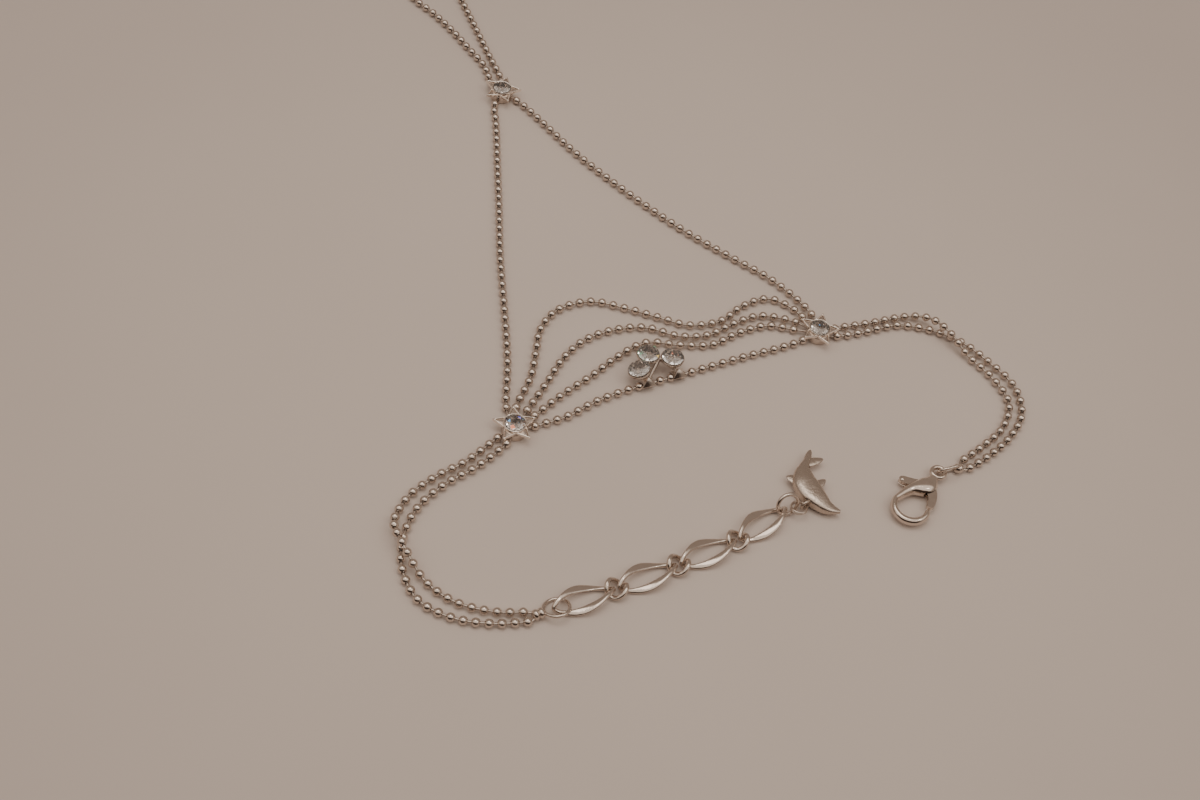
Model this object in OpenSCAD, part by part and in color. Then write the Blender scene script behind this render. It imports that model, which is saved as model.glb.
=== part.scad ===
// Hand chain bracelet laid open: three stars joined by ball chains, a finger loop,
// a crystal cluster, an extension chain with a dolphin charm and a lobster clasp.
// Millimetres, +Z up, the underside rests on z = 0, +Y runs towards the finger loop.

/* [Ball chain] */
// Diameter of one ball
ball_d = 1.5; // [1.3:0.05:1.5]
// Spacing of the balls along a strand
ball_pitch = 2; // [1.9:0.05:2.2]
// Diameter of the wire that the balls are strung on
thread_d = 0.4; // [0.3:0.05:0.5]
// Clearance between the wire and the hole in a ball, all round
thread_clearance = 0.2; // [0.15:0.01:0.22]
// Height of the upper strand where two strands cross
crossing_lift = 1.8; // [1.75:0.05:2.4]

/* [Stars] */
// Radius from the middle of a star to its points
star_tip_r = 3.9; // [3.6:0.05:4.1]
// Radius from the middle of a star to its notches
star_notch_r = 2; // [1.9:0.05:2.1]
// Thickness of the star's edge
star_edge_t = 0.5; // [0.4:0.05:0.7]
// Height of the plain hub under a star, which takes the strands
hub_h = 1.6; // [1.4:0.05:1.9]
// Radius of the hub under a star
hub_r = 2.2; // [2:0.05:2.2]
// Height of the round setting above the hub
star_collar_h = 0.8; // [0.75:0.05:1]
// Wall of the round settings on the stars
setting_wall = 0.25; // [0.2:0.05:0.35]

/* [Crystals] */
// Diameter of the crystals in the stars
star_gem_d = 3.3; // [3.1:0.05:3.4]
// Diameter of the crystals in the cluster
cluster_gem_d = 3.8; // [3.6:0.05:3.85]
// Clearance between a crystal and its setting, all round
gem_clearance = 0.1; // [0.1:0.01:0.15]

/* [Cluster setting] */
// Height of the crystals' girdles in the cluster
cluster_girdle_z = 3.4; // [3.3:0.05:3.8]
// Wall of the cluster's cups
cup_wall = 0.2; // [0.15:0.05:0.25]
// Diameter of the hole that the strand runs through
tunnel_d = 1.8; // [1.75:0.05:1.9]
// Outward tilt of the outer crystal
outer_tilt = 18; // [14:1:20]

/* [Extension chain] */
// Length of a long link along its middle line
long_link_l = 10.1; // [10.05:0.05:10.25]
// Width of a long link along its middle line
long_link_w = 3.7; // [3.6:0.05:3.8]
// Length and width of a small link along its middle line
small_link_d = 3.3; // [3.3:0.05:3.4]
// Thickness of the links' wire
link_wire_d = 0.7; // [0.6:0.05:0.7]
// Twist of a link from its middle to its nose
link_twist = 45; // [44:0.5:46]

/* [Rings] */
// Radius of the left end ring along its middle line
end_ring_r = 2.05; // [2.05:0.05:2.15]
// Thickness of the wire of the end rings and the charm ring
ring_wire_d = 0.55; // [0.5:0.05:0.6]
// Radius of the open ring along its middle line
open_ring_r = 1.85; // [1.8:0.05:1.9]
// Thickness of the open ring's wire
open_ring_wire_d = 0.65; // [0.5:0.05:0.65]
// Radius of the charm ring along its middle line
charm_ring_r = 1.3; // [1.25:0.05:1.35]

/* [Dolphin charm] */
// Length of the dolphin from its loop to the root of its tail
dolphin_l = 10; // [9.8:0.1:10.2]
// Thickness of the dolphin at its thickest
dolphin_t = 2.6; // [2.2:0.1:2.8]
// Half of the dolphin's width at its thickest
dolphin_half_w = 2.15; // [2:0.05:2.2]
// Thickness of the wire of the dolphin's loop
dolphin_loop_wire_d = 0.5; // [0.45:0.05:0.5]

/* [Clasp] */
// Length of the clasp from its hook's middle to the far side of its eye's hole
clasp_l = 10; // [9.9:0.05:10.1]
// Thickness of the clasp's body
clasp_t = 2.4; // [2.2:0.1:2.6]
// Radius of the clasp's hook along its middle line
hook_r = 2.85; // [2.8:0.05:2.9]
// Thickness of the clasp's lever
lever_t = 0.9; // [0.8:0.05:1]
// Diameter of the lever's pin
pin_d = 0.7; // [0.6:0.05:0.75]
// Clearance between the pin and the lever's bore, all round
pin_clearance = 0.1; // [0.08:0.01:0.12]

/* [Hidden] */
$fn = 32;

silver = [0.78, 0.77, 0.75];
bright_silver = [0.86, 0.85, 0.83];
crystal_clear = [0.85, 0.9, 0.95];

// Places of the stars' middles and the direction of one point of each
TOP = [-39, 42.5];
LEFT = [-21.5, -38.5];
RIGHT = [27.5, -4.5];
top_turn = 12;
left_turn = 34;
right_turn = 12;

// A strand starts this far from the hub, and leaves it straight up to lead_r
joint_gap = 0.3;
lead_r = 4.4;
// Distance from a strand's end to its first ball
short_lead = 1;
long_lead = 2;

function mix(a, b, t) = a + (b - a) * t;
function heading(angle) = [cos(angle), sin(angle)];
function azimuth(a, b) = atan2(b.y - a.y, b.x - a.x);
function turned(p, angle) =
    [p.x * cos(angle) - p.y * sin(angle), p.x * sin(angle) + p.y * cos(angle)];
function leave(star, angle, lead_angle) =
    [star + (hub_r + joint_gap) * heading(angle), star + lead_r * heading(lead_angle)];
function reach(star, angle, lead_angle) =
    [star + lead_r * heading(lead_angle), star + (hub_r + joint_gap) * heading(angle)];

// Routes of the strands in plan, chosen by hand: the points lie on the middle line
ROUTE_HAND_LEFT = concat(leave(TOP, 255, 262),
    [[-38.5, 34], [-36, 22.5], [-33.5, 11], [-31, -1], [-28, -13], [-25.2, -25]],
    reach(LEFT, 122, 119));
ROUTE_HAND_RIGHT = concat(leave(TOP, 344, 338),
    [[-32, 38.5], [-27.5, 34.5], [-23, 30.5], [-18.5, 27], [-9, 20.5], [1, 14.5],
    [11.5, 9.5], [17, 7], [22.3, 3.4]],
    reach(RIGHT, 109, 109));
ROUTE_GARLAND_1 = concat(leave(LEFT, 97, 97),
    [[-20.8, -27], [-20.9, -21], [-21, -16], [-18.8, -10.8], [-13.5, -7.4], [-7, -7.4],
    [-1.5, -8], [4.5, -8.5], [10, -6], [13.5, -1.5], [18, 1.5], [22, 0.5]],
    reach(RIGHT, 134, 134));
ROUTE_GARLAND_2 = concat(leave(LEFT, 72, 72),
    [[-18, -28], [-16, -21.5], [-13, -16.5], [-8.5, -13], [-3, -11], [3, -11.5],
    [8, -10], [12.5, -6], [17, -3]],
    reach(RIGHT, 159, 159));
ROUTE_GARLAND_3 = concat(leave(LEFT, 49, 51),
    [[-14.5, -29], [-10.5, -24], [-7, -19], [-2.5, -14.5], [3.5, -13.5], [9, -12],
    [13.5, -8], [18.5, -5]],
    reach(RIGHT, 184, 184));
ROUTE_GARLAND_4 = concat(leave(LEFT, 18, 24),
    [[-13.5, -34], [-9, -29.5], [-4.5, -26], [5.5, -19.5], [15.5, -13], [20.5, -10]],
    reach(RIGHT, 222, 222));
ROUTE_WRIST_LEFT_1 = concat(leave(LEFT, 224, 229),
    [[-28, -47], [-32, -51], [-35.5, -56], [-36.5, -61.5], [-34, -66], [-29, -71],
    [-24, -73.3], [-18, -73.6], [-13.3, -72.6]]);
ROUTE_WRIST_LEFT_2 = concat(leave(LEFT, 264, 255),
    [[-26, -47.6], [-29.9, -51.7], [-33.5, -57.5], [-34.5, -63.5], [-33.5, -69], [-30, -74],
    [-24.5, -76], [-18.5, -75.8], [-12.3, -74.1]]);
ROUTE_WRIST_RIGHT_1 = concat(leave(RIGHT, 36, 32),
    [[36.6, 0.3], [44, 3.8], [47, 3.5], [50, 1], [54.5, -3], [59, -7], [62, -12],
    [61, -18], [57.5, -23], [53.5, -27.5]]);
ROUTE_WRIST_RIGHT_2 = concat(leave(RIGHT, -4, 6),
    [[36, -2], [41.5, 1], [47.5, 1.5], [53.5, 0], [58.5, -3.5], [63, -8],
    [64.4, -14], [62.5, -19.5], [58.5, -25], [54.5, -29]]);
ROUTE_FINGER_LOOP = concat(leave(TOP, 98, 102),
    [[-43.2, 52.5], [-46.3, 58], [-49.4, 63.5], [-52.5, 69], [-55, 74], [-59.5, 76.3],
    [-63, 74.5], [-64.4, 70.5], [-62, 66.5], [-57, 62.8], [-52.5, 58.8], [-48, 54.1],
    [-44, 49.8]],
    reach(TOP, 138, 132));

// Places where one strand passes over another, and the width of its rise
LEFT_CROSSING = [-34.5, -65.5];
RIGHT_CROSSING = [50, 1];
FLAT = [];
rise_w = 8;

// One part of a smooth curve through four points, spaced by the root of their distances
function knot(a, b) = sqrt(norm(b - a));
function curve_point(p0, p1, p2, p3, u) =
    let (t1 = knot(p0, p1), t2 = t1 + knot(p1, p2), t3 = t2 + knot(p2, p3),
        t = mix(t1, t2, u),
        a1 = mix(p0, p1, t / t1),
        a2 = mix(p1, p2, (t - t1) / (t2 - t1)),
        a3 = mix(p2, p3, (t - t2) / (t3 - t2)),
        b1 = mix(a1, a2, t / t2),
        b2 = mix(a2, a3, (t - t1) / (t3 - t1)))
    mix(b1, b2, (t - t1) / (t2 - t1));
function smooth(p, steps) =
    let (last = len(p) - 1)
    [for (i = [0 : last - 1]) for (k = [0 : steps - 1])
        curve_point(i > 0 ? p[i - 1] : 2 * p[0] - p[1], p[i], p[i + 1],
            i + 2 <= last ? p[i + 2] : 2 * p[last] - p[last - 1], k / steps),
        p[last]];

// Height of a strand's middle line, with a soft rise over a crossing
function rise(point, crossing) =
    crossing == FLAT || norm(point - crossing) > rise_w ? 0
    : crossing_lift * (1 + cos(180 * norm(point - crossing) / rise_w)) / 2;
route_steps = 10;
function strand_line(route, crossing) =
    [for (q = smooth(route, route_steps)) [q.x, q.y, ball_d / 2 + rise(q, crossing)]];

// Points at given distances along a line
function distances(line) =
    [for (i = 0, d = 0; i < len(line);
        d = d + (i + 1 < len(line) ? norm(line[i + 1] - line[i]) : 0), i = i + 1) d];
function points_along(line, wanted) =
    let (d = distances(line),
        xs = [for (i = [0 : len(line) - 1]) [d[i], line[i].x]],
        ys = [for (i = [0 : len(line) - 1]) [d[i], line[i].y]],
        zs = [for (i = [0 : len(line) - 1]) [d[i], line[i].z]])
    [for (w = wanted) [lookup(w, xs), lookup(w, ys), lookup(w, zs)]];
function line_length(line) = distances(line)[len(line) - 1];
function ball_distances(line, lead_in, lead_out) =
    let (run = line_length(line) - lead_in - lead_out, count = round(run / ball_pitch))
    [for (k = [0 : count]) lead_in + run * k / count];
function thread_distances(line, lead_in, lead_out) =
    let (b = ball_distances(line, lead_in, lead_out), last = len(b) - 1)
    concat([0], [for (i = [0 : last - 1]) for (half = [0, 1]) mix(b[i], b[i + 1], half / 2)],
        [b[last], line_length(line)]);

// A tube along a line that runs nearly level
function tangent(p, i) = p[min(i + 1, len(p) - 1)] - p[max(i - 1, 0)];
function unit(v) = v / norm(v);
function level_side(t) = unit(cross(t, [0, 0, 1]));
function fan(ring, sides, reversed) =
    reversed ? [[for (k = [0 : sides - 1]) ring * sides + k]]
    : [[for (k = [sides - 1 : -1 : 0]) ring * sides + k]];
function walls(rings, sides, closed) =
    [for (i = [0 : rings - (closed ? 1 : 2)]) for (k = [0 : sides - 1])
        let (j = (i + 1) % rings, n = (k + 1) % sides)
        each [[i * sides + k, i * sides + n, j * sides + n],
            [i * sides + k, j * sides + n, j * sides + k]]];
module level_tube(line, r, sides) {
    points = [for (i = [0 : len(line) - 1])
        let (t = tangent(line, i), side = level_side(t), up = unit(cross(side, t)))
        for (k = [0 : sides - 1])
            let (a = 360 * (k + 0.5) / sides)
            line[i] + r * (cos(a) * side + sin(a) * up)];
    polyhedron(points, concat(walls(len(line), sides, false),
        fan(0, sides, false), fan(len(line) - 1, sides, true)), convexity = 10);
}

// A strand of drilled balls, its wire, and a strand kept as one tube
thread_sides = 5;
module ball_strand(route, lead_in, lead_out) {
    line = strand_line(route, FLAT);
    spots = ball_distances(line, lead_in, lead_out);
    places = points_along(line, spots);
    before = points_along(line, [for (s = spots) s - ball_d / 2]);
    after = points_along(line, [for (s = spots) s + ball_d / 2]);
    color(bright_silver)
        for (i = [0 : len(places) - 1])
            translate(places[i])
                rotate([0, 90, azimuth(before[i], after[i])])
                    difference() {
                        sphere(d = ball_d);
                        cylinder(d = thread_d + 2 * thread_clearance, h = 2 * ball_d,
                            center = true);
                    }
}
module strand_wire(route, lead_in, lead_out) {
    line = strand_line(route, FLAT);
    color(silver)
        level_tube(points_along(line, thread_distances(line, lead_in, lead_out)),
            thread_d / 2, thread_sides);
}
tube_sides = 8;
tube_ring_gap = 4.2;
module strand_tube(route, crossing) {
    line = strand_line(route, crossing);
    total = line_length(line);
    count = round(total / tube_ring_gap);
    color(bright_silver)
        level_tube(points_along(line, [for (k = [0 : count]) total * k / count]),
            ball_d / 2, tube_sides);
}

// A round cut crystal with its girdle on z = 0: table, star, kite and half facets
gem_table_share = 0.56;
gem_mid_share = 0.8;
gem_crown_share = 0.3;
gem_girdle_share = 0.06;
gem_depth_share = 0.64;
module gem(r) {
    crown = [for (i = [0 : 7]) [each r * gem_table_share * heading(45 * i), r * gem_crown_share]];
    shoulder = [for (i = [0 : 7])
        [each r * gem_mid_share * heading(45 * i + 22.5), r * gem_crown_share * 0.62]];
    girdle_top = [for (i = [0 : 15]) [each r * heading(22.5 * i), 0]];
    girdle_low = [for (p = girdle_top) p - [0, 0, r * gem_girdle_share]];
    belly = [for (i = [0 : 7])
        [each r * 0.45 * heading(45 * i + 22.5), -r * mix(gem_girdle_share, gem_depth_share, 0.6)]];
    culet = [[0, 0, -r * gem_depth_share]];
    // First index of each ring of points
    s0 = 8;
    g0 = 16;
    l0 = 32;
    b0 = 48;
    c0 = 56;
    faces = concat([[7, 6, 5, 4, 3, 2, 1, 0]],
        [for (i = [0 : 7])
            let (j = (i + 1) % 8, h = (i + 7) % 8, e = 2 * i, o = 2 * i + 1, n = (2 * i + 2) % 16)
            each [[i, j, s0 + i], [i, g0 + e, s0 + h], [i, s0 + i, g0 + e],
                [s0 + i, g0 + o, g0 + e], [s0 + i, g0 + n, g0 + o],
                [g0 + e, g0 + o, l0 + o, l0 + e], [g0 + o, g0 + n, l0 + n, l0 + o],
                [b0 + i, l0 + e, l0 + o], [b0 + i, l0 + o, l0 + n],
                [c0, b0 + h, l0 + e], [c0, l0 + e, b0 + i]]]);
    color(crystal_clear)
        polyhedron(concat(crown, shoulder, girdle_top, girdle_low, belly, culet), faces);
}

// A five-point star with a ridge on each point, its hub below and its setting above
star_peak = 1.05;
seat_depth = 1.2;
seat_r = star_gem_d / 2 + gem_clearance;
star_girdle_z = hub_h + star_collar_h;
module star(place, turn) {
    outline = [for (i = [0 : 9]) (i % 2 == 0 ? star_tip_r : star_notch_r) * heading(36 * i)];
    points = concat([[0, 0, 0]], [for (p = outline) [p.x, p.y, 0]],
        [for (p = outline) [p.x, p.y, star_edge_t]], [[0, 0, star_peak]]);
    faces = [for (i = [0 : 9])
        let (j = (i + 1) % 10)
        each [[0, i + 1, j + 1], [i + 1, i + 11, j + 11, j + 1], [21, j + 11, i + 11]]];
    color(silver)
        translate([each place, 0])
            rotate(turn)
                difference() {
                    union() {
                        cylinder(r = hub_r, h = hub_h + star_edge_t / 2);
                        translate([0, 0, hub_h])
                            polyhedron(points, faces);
                        translate([0, 0, hub_h])
                            cylinder(r = seat_r + setting_wall, h = star_collar_h);
                    }
                    translate([0, 0, hub_h + star_collar_h - seat_depth])
                        cylinder(r = seat_r, h = 2 * seat_depth);
                }
}
module star_crystal(place, turn) {
    translate([each place, star_girdle_z])
        rotate(turn)
            gem(star_gem_d / 2);
}

// The cluster: two clamps on the lowest garland, a bridge and three cups
CLAMP_1 = [-1.1, -23.8];
CLAMP_2 = [3.8, -20.6];
JUNCTION = [0.2, -19, 2.5];
CUP_A = [-3, -22.75, cluster_girdle_z];
CUP_B = [-1.85, -18.95, cluster_girdle_z];
CUP_C = [2.4, -18.7, cluster_girdle_z];
clamp_turn = azimuth(CLAMP_1, CLAMP_2);
clamp_l = 2.6;
clamp_w = 1.8;
// The clamps straddle the strand from this height up
clamp_z = 1.1;
clamp_side_h = 0.15;
clamp_h = 1.6;
bridge_r = 0.5;
rod_sides = 8;
cup_depth = 1.6;
// The crystals rest on the cups, whose rims stay this far below the girdles
cup_drop = 0.28;
cup_base_r = 0.9;
cup_inner_r = cluster_gem_d / 2 - 0.05;
module rod(a, b, r) {
    v = b - a;
    translate(a)
        rotate([0, acos(v.z / norm(v)), atan2(v.y, v.x)])
            cylinder(r = r, h = norm(v), $fn = rod_sides);
}
module cup_solid() {
    top_r = cup_inner_r + cup_wall;
    rotate_extrude()
        polygon([[0, -cup_depth], [cup_base_r, -cup_depth], [top_r, -cup_depth * 0.45],
            [top_r, -cup_drop], [0, -cup_drop]]);
}
module cup_hollow() {
    rotate_extrude()
        polygon([[0, -cup_depth + 0.2], [cup_base_r * 0.6, -cup_depth + 0.2],
            [cup_inner_r, -cup_depth * 0.35], [cup_inner_r, 1], [0, 1]]);
}
module at_cup(cup, tilt) {
    translate(cup)
        rotate([0, 0, 180])
            rotate([0, tilt, 0])
                children();
}
module clamp(place) {
    translate([each place, clamp_z])
        rotate([0, 0, clamp_turn])
            polyhedron([[-clamp_l / 2, -clamp_w / 2, 0], [clamp_l / 2, -clamp_w / 2, 0],
                [clamp_l / 2, clamp_w / 2, 0], [-clamp_l / 2, clamp_w / 2, 0],
                [-clamp_l / 2, -clamp_w / 2, clamp_side_h], [clamp_l / 2, -clamp_w / 2, clamp_side_h],
                [clamp_l / 2, clamp_w / 2, clamp_side_h], [-clamp_l / 2, clamp_w / 2, clamp_side_h],
                [0, 0, clamp_h]],
                [[0, 1, 2, 3], [0, 4, 5, 1], [1, 5, 6, 2], [2, 6, 7, 3], [3, 7, 4, 0],
                [4, 8, 5], [5, 8, 6], [6, 8, 7], [7, 8, 4]]);
}
module cluster_setting() {
    color(silver)
        difference() {
            union() {
                clamp(CLAMP_1);
                clamp(CLAMP_2);
                rod([each CLAMP_1, 1.9], JUNCTION, bridge_r);
                rod([each CLAMP_2, 1.9], JUNCTION, bridge_r);
                rod(JUNCTION, CUP_B - [0, 0, cup_depth * 0.8], bridge_r);
                rod(JUNCTION, CUP_C - [0, 0, cup_depth * 0.8], bridge_r);
                rod([each CLAMP_1, 1.9], CUP_A - [0, 0, cup_depth * 0.8], bridge_r);
                at_cup(CUP_A, outer_tilt)
                    cup_solid();
                at_cup(CUP_B, 0)
                    cup_solid();
                at_cup(CUP_C, 0)
                    cup_solid();
            }
            at_cup(CUP_A, outer_tilt)
                cup_hollow();
            at_cup(CUP_B, 0)
                cup_hollow();
            at_cup(CUP_C, 0)
                cup_hollow();
            translate([each CLAMP_1, ball_d / 2])
                rotate([0, 90, clamp_turn])
                    cylinder(d = tunnel_d, h = 30, center = true);
        }
}
module cluster_crystal(cup, tilt) {
    at_cup(cup, tilt)
        gem(cluster_gem_d / 2);
}

// Twisted links: a loop whose plane turns about its long axis from nose to nose
chain_z = 1.06;
link_sides = 6;
function twisted_loop(l, w, pinch, count) =
    [for (i = [0 : count - 1])
        let (a = 360 * i / count, x = cos(a) * l / 2,
            y = sign(sin(a)) * pow(abs(sin(a)), pinch) * w / 2,
            turn = -link_twist * cos(a))
        [[x, y * cos(turn), y * sin(turn)], [0, -sin(turn), cos(turn)]]];
// flat_share widens the wire into flat ribbons along the sides, in the loop's own plane
module twisted_link(l, w, pinch, count, flat_share) {
    path = twisted_loop(l, w, pinch, count);
    points = [for (i = [0 : count - 1])
        let (t = unit(path[(i + 1) % count][0] - path[(i + count - 1) % count][0]),
            n = unit(path[i][1] - (path[i][1] * t) * t), out = cross(t, n),
            side = pow(abs(sin(360 * i / count)), 4),
            thick = link_wire_d / 2 * (1 + flat_share * side),
            high = link_wire_d / 2 * (1 - flat_share * 0.35 * side))
        for (k = [0 : link_sides - 1])
            let (a = 360 * k / link_sides)
            path[i][0] + thick * cos(a) * out + high * sin(a) * n];
    color(silver)
        polyhedron(points, walls(count, link_sides, true), convexity = 6);
}

// Links of the extension chain, from the left end ring to the open ring
RING_LEFT = [-9, -71];
SMALL_1 = [-0.5, -65.5];
SMALL_2 = [8.5, -59];
SMALL_3 = [17.3, -52.2];
link_overlap = 1.15;
link_reach = (long_link_l + small_link_d) / 2 - link_overlap;
bend_1 = azimuth(RING_LEFT, SMALL_1);
bend_2 = azimuth(SMALL_1, SMALL_2);
bend_3 = azimuth(SMALL_2, SMALL_3);
bend_4 = 48;
LONG_1 = SMALL_1 - link_reach * heading(bend_1);
LONG_2 = (SMALL_1 + SMALL_2) / 2;
LONG_3 = (SMALL_2 + SMALL_3) / 2;
LONG_4 = SMALL_3 + link_reach * heading(bend_4);
long_pinch = 1.25;
long_count = 22;
small_count = 14;
long_flat = 0.95;
module long_link(place, bend) {
    translate([each place, chain_z])
        rotate(bend)
            twisted_link(long_link_l, long_link_w, long_pinch, long_count, long_flat);
}
module small_link(place, before, after) {
    translate([each place, chain_z])
        rotate((before + after) / 2)
            twisted_link(small_link_d, small_link_d, 1, small_count, 0);
}

// Plain round rings, and rings with two straight sides
module ring(r, wire_d) {
    color(silver)
        rotate_extrude()
            translate([r, 0])
                circle(d = wire_d);
}
module long_ring(end_r, straight, wire_d) {
    for (end = [0, 180])
        rotate(end) {
            translate([straight / 2, 0, 0])
                rotate(-90)
                    rotate_extrude(angle = 180)
                        translate([end_r, 0])
                            circle(d = wire_d);
            translate([0, end_r, 0])
                rotate([0, 90, 0])
                    cylinder(d = wire_d, h = straight, center = true);
        }
}

// The left end ring leans on the table, its solder cap takes the two left strands
ring_left_lean = -20;
ring_left_z = 1.02;
cap_left_r = 0.9;
cap_left_l = 2.2;
cap_left_out = 0.95;
CAP_LEFT = [each RING_LEFT - (end_ring_r + cap_left_out) * heading(bend_1), cap_left_r];
module end_ring_left() {
    color(silver)
        union() {
            translate([each RING_LEFT, ring_left_z])
                rotate([ring_left_lean, 0, bend_1])
                    ring(end_ring_r, ring_wire_d);
            translate(CAP_LEFT)
                rotate([0, 90, bend_1])
                    cylinder(r = cap_left_r, h = cap_left_l, center = true);
        }
}

// Place of the lobster clasp, which is drawn with its hook's middle at the origin and its eye
// along +y
CLASP = [45.1, -39.4];
clasp_turn = -23.2;
clasp_z = 1.25;
EYE_LOCAL = clasp_l * [0.087, 0.94];

// The right end ring: a long ring on its edge through the clasp's eye, with its solder cap
cap_right_r = 0.9;
CAP_RIGHT = [53.15, -29.1, cap_right_r];
EYE = turned(EYE_LOCAL, clasp_turn) + CLASP;
ring_right_turn = azimuth(CAP_RIGHT, EYE);
ring_right_end_r = 1.2;
ring_right_straight = 1.6;
ring_right_lean = 68;
ring_right_reach = norm([EYE.x - CAP_RIGHT.x, EYE.y - CAP_RIGHT.y])
    - ring_right_end_r - ring_right_straight / 2;
module end_ring_right() {
    color(silver)
        union() {
            translate(CAP_RIGHT)
                sphere(r = cap_right_r);
            translate([CAP_RIGHT.x, CAP_RIGHT.y, ring_right_end_r + ring_wire_d / 2])
                rotate([ring_right_lean, 0, ring_right_turn])
                    translate([ring_right_reach, 0, 0])
                        long_ring(ring_right_end_r, ring_right_straight, ring_wire_d);
        }
}

// The open ring stands in the last long link, the charm ring hangs on it
open_ring_turn = 30;
open_ring_back = 1.5;
OPEN_RING = LONG_4 + long_link_l / 2 * heading(bend_4)
    + (open_ring_r - open_ring_back) * heading(open_ring_turn);
open_ring_lean = 66;
open_ring_z = open_ring_r * sin(open_ring_lean) + open_ring_wire_d / 2 + 0.02;
module open_ring() {
    translate([each OPEN_RING, open_ring_z])
        rotate([open_ring_lean, 0, open_ring_turn])
            ring(open_ring_r, open_ring_wire_d);
}
charm_ring_slack = 0.11;
charm_ring_side = 6;
charm_ring_z = 1.4;
charm_ring_lean = -10;
CHARM_RING = [each OPEN_RING + (open_ring_r + charm_ring_slack) * heading(charm_ring_side),
    charm_ring_z];
module charm_ring() {
    translate(CHARM_RING)
        rotate([charm_ring_lean, 0, 0])
            ring(charm_ring_r, ring_wire_d);
}

// The dolphin lies on its side and hangs on its loop, which is the origin of its tables.
// Columns: x and y as shares of its length, shares of its half width and half thickness
DOLPHIN_SPINE = [[-0.016, 0.993, 0.2, 0.35], [-0.05, 0.883, 0.27, 0.45],
    [-0.085, 0.743, 0.43, 0.65], [-0.085, 0.583, 0.78, 0.85], [-0.04, 0.413, 0.98, 1],
    [0.055, 0.273, 1, 1], [0.18, 0.15, 0.84, 0.95], [0.316, 0.043, 0.6, 0.75],
    [0.454, 0, 0.36, 0.45], [0.574, -0.007, 0.12, 0.2]];
dolphin_sides = 12;
dolphin_steps = 4;
dolphin_z = dolphin_t / 2;
DORSAL = [[-0.18, 0.56], [-0.18, 0.4], [-0.33, 0.5]];
PECTORAL = [[0.1, 0.48], [0.11, 0.38], [0.25, 0.4], [0.265, 0.56]];
FLUKE_UP = [[-0.03, 0.92], [-0.02, 1.125], [0.015, 1.11]];
FLUKE_SIDE = [[-0.03, 0.88], [0.065, 1.01], [0.2, 0.985], [0.07, 0.82]];
fin_r = 0.35;
dolphin_loop_r = 0.85;
dolphin_loop_turn = 40;
dolphin_loop_slack = 0.14;
dolphin_loop_z = 1.25;
DOLPHIN_LOOP = [CHARM_RING.x, CHARM_RING.y]
    + (charm_ring_r + dolphin_loop_slack) * heading(dolphin_loop_turn);
module dolphin_body() {
    rows = smooth(DOLPHIN_SPINE, dolphin_steps);
    last = len(rows) - 1;
    middle = [for (q = rows) [dolphin_l * q.x, dolphin_l * q.y, dolphin_z]];
    points = [for (i = [0 : last])
        let (side = level_side(tangent(middle, i)),
            half_w = max(rows[i][2], 0.08) * dolphin_half_w,
            half_t = min(max(rows[i][3], 0.15), 1) * dolphin_t / 2)
        for (k = [0 : dolphin_sides - 1])
            let (a = 360 * k / dolphin_sides)
            middle[i] + half_w * cos(a) * side + [0, 0, half_t * sin(a)]];
    polyhedron(points, concat(walls(last + 1, dolphin_sides, false),
        fan(0, dolphin_sides, false), fan(last, dolphin_sides, true)), convexity = 4);
}
module fin(corners) {
    hull()
        for (c = corners)
            translate([each dolphin_l * c, dolphin_z])
                sphere(r = fin_r, $fn = 8);
}
module dolphin_charm() {
    color(bright_silver)
        translate([each DOLPHIN_LOOP, 0]) {
            dolphin_body();
            fin(DORSAL);
            fin(PECTORAL);
            fin(FLUKE_UP);
            fin(FLUKE_SIDE);
            translate([0, 0, dolphin_loop_z])
                rotate([90, 0, dolphin_loop_turn])
                    ring(dolphin_loop_r, dolphin_loop_wire_d);
        }
}

// The clasp's body
eye_r = 1.1;
eye_wire_d = 0.8;
hook_start = 180;
hook_sweep = 203;
hook_w = 1;
hook_t = 1.7;
PIN = clasp_l * [0.09, 0.54];
slot_t = lever_t + 0.3;
// Columns: x, y and half width of the body, its first row at the hook
BODY_ROWS = concat([[-hook_r, 0, hook_w / 2]],
    clasp_l * [[-0.15, 0.33, 0.095], [0.04, 0.55, 0.175], [0.08, 0.78, 0.075]]);
body_fn = 16;
function rounded_section(w, t) =
    [for (k = [0 : 11]) let (a = 30 * k + 15)
        [sign(cos(a)) * pow(abs(cos(a)), 0.7) * w / 2, sign(sin(a)) * pow(abs(sin(a)), 0.7) * t / 2]];
module at_clasp() {
    translate([each CLASP, clasp_z])
        rotate(clasp_turn)
            children();
}
module body_span(a, b, t_a, t_b) {
    hull() {
        translate([a.x, a.y, 0])
            scale([a.z, a.z, t_a / 2])
                sphere(r = 1, $fn = body_fn);
        translate([b.x, b.y, 0])
            scale([b.z, b.z, t_b / 2])
                sphere(r = 1, $fn = body_fn);
    }
}
module clasp_body() {
    color(silver)
        at_clasp() {
            difference() {
                union() {
                    rotate(hook_start)
                        rotate_extrude(angle = hook_sweep)
                            translate([hook_r, 0])
                                polygon(rounded_section(hook_w, hook_t));
                    body_span(BODY_ROWS[0], BODY_ROWS[1], hook_t, clasp_t * 0.9);
                    body_span(BODY_ROWS[1], BODY_ROWS[2], clasp_t * 0.9, clasp_t);
                    body_span(BODY_ROWS[2], BODY_ROWS[3], clasp_t, clasp_t * 0.7);
                }
                lever_room();
            }
            translate([each PIN, 0])
                cylinder(d = pin_d, h = clasp_t * 0.7, center = true);
            translate([each EYE_LOCAL, 0])
                ring(eye_r, eye_wire_d);
        }
}

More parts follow.
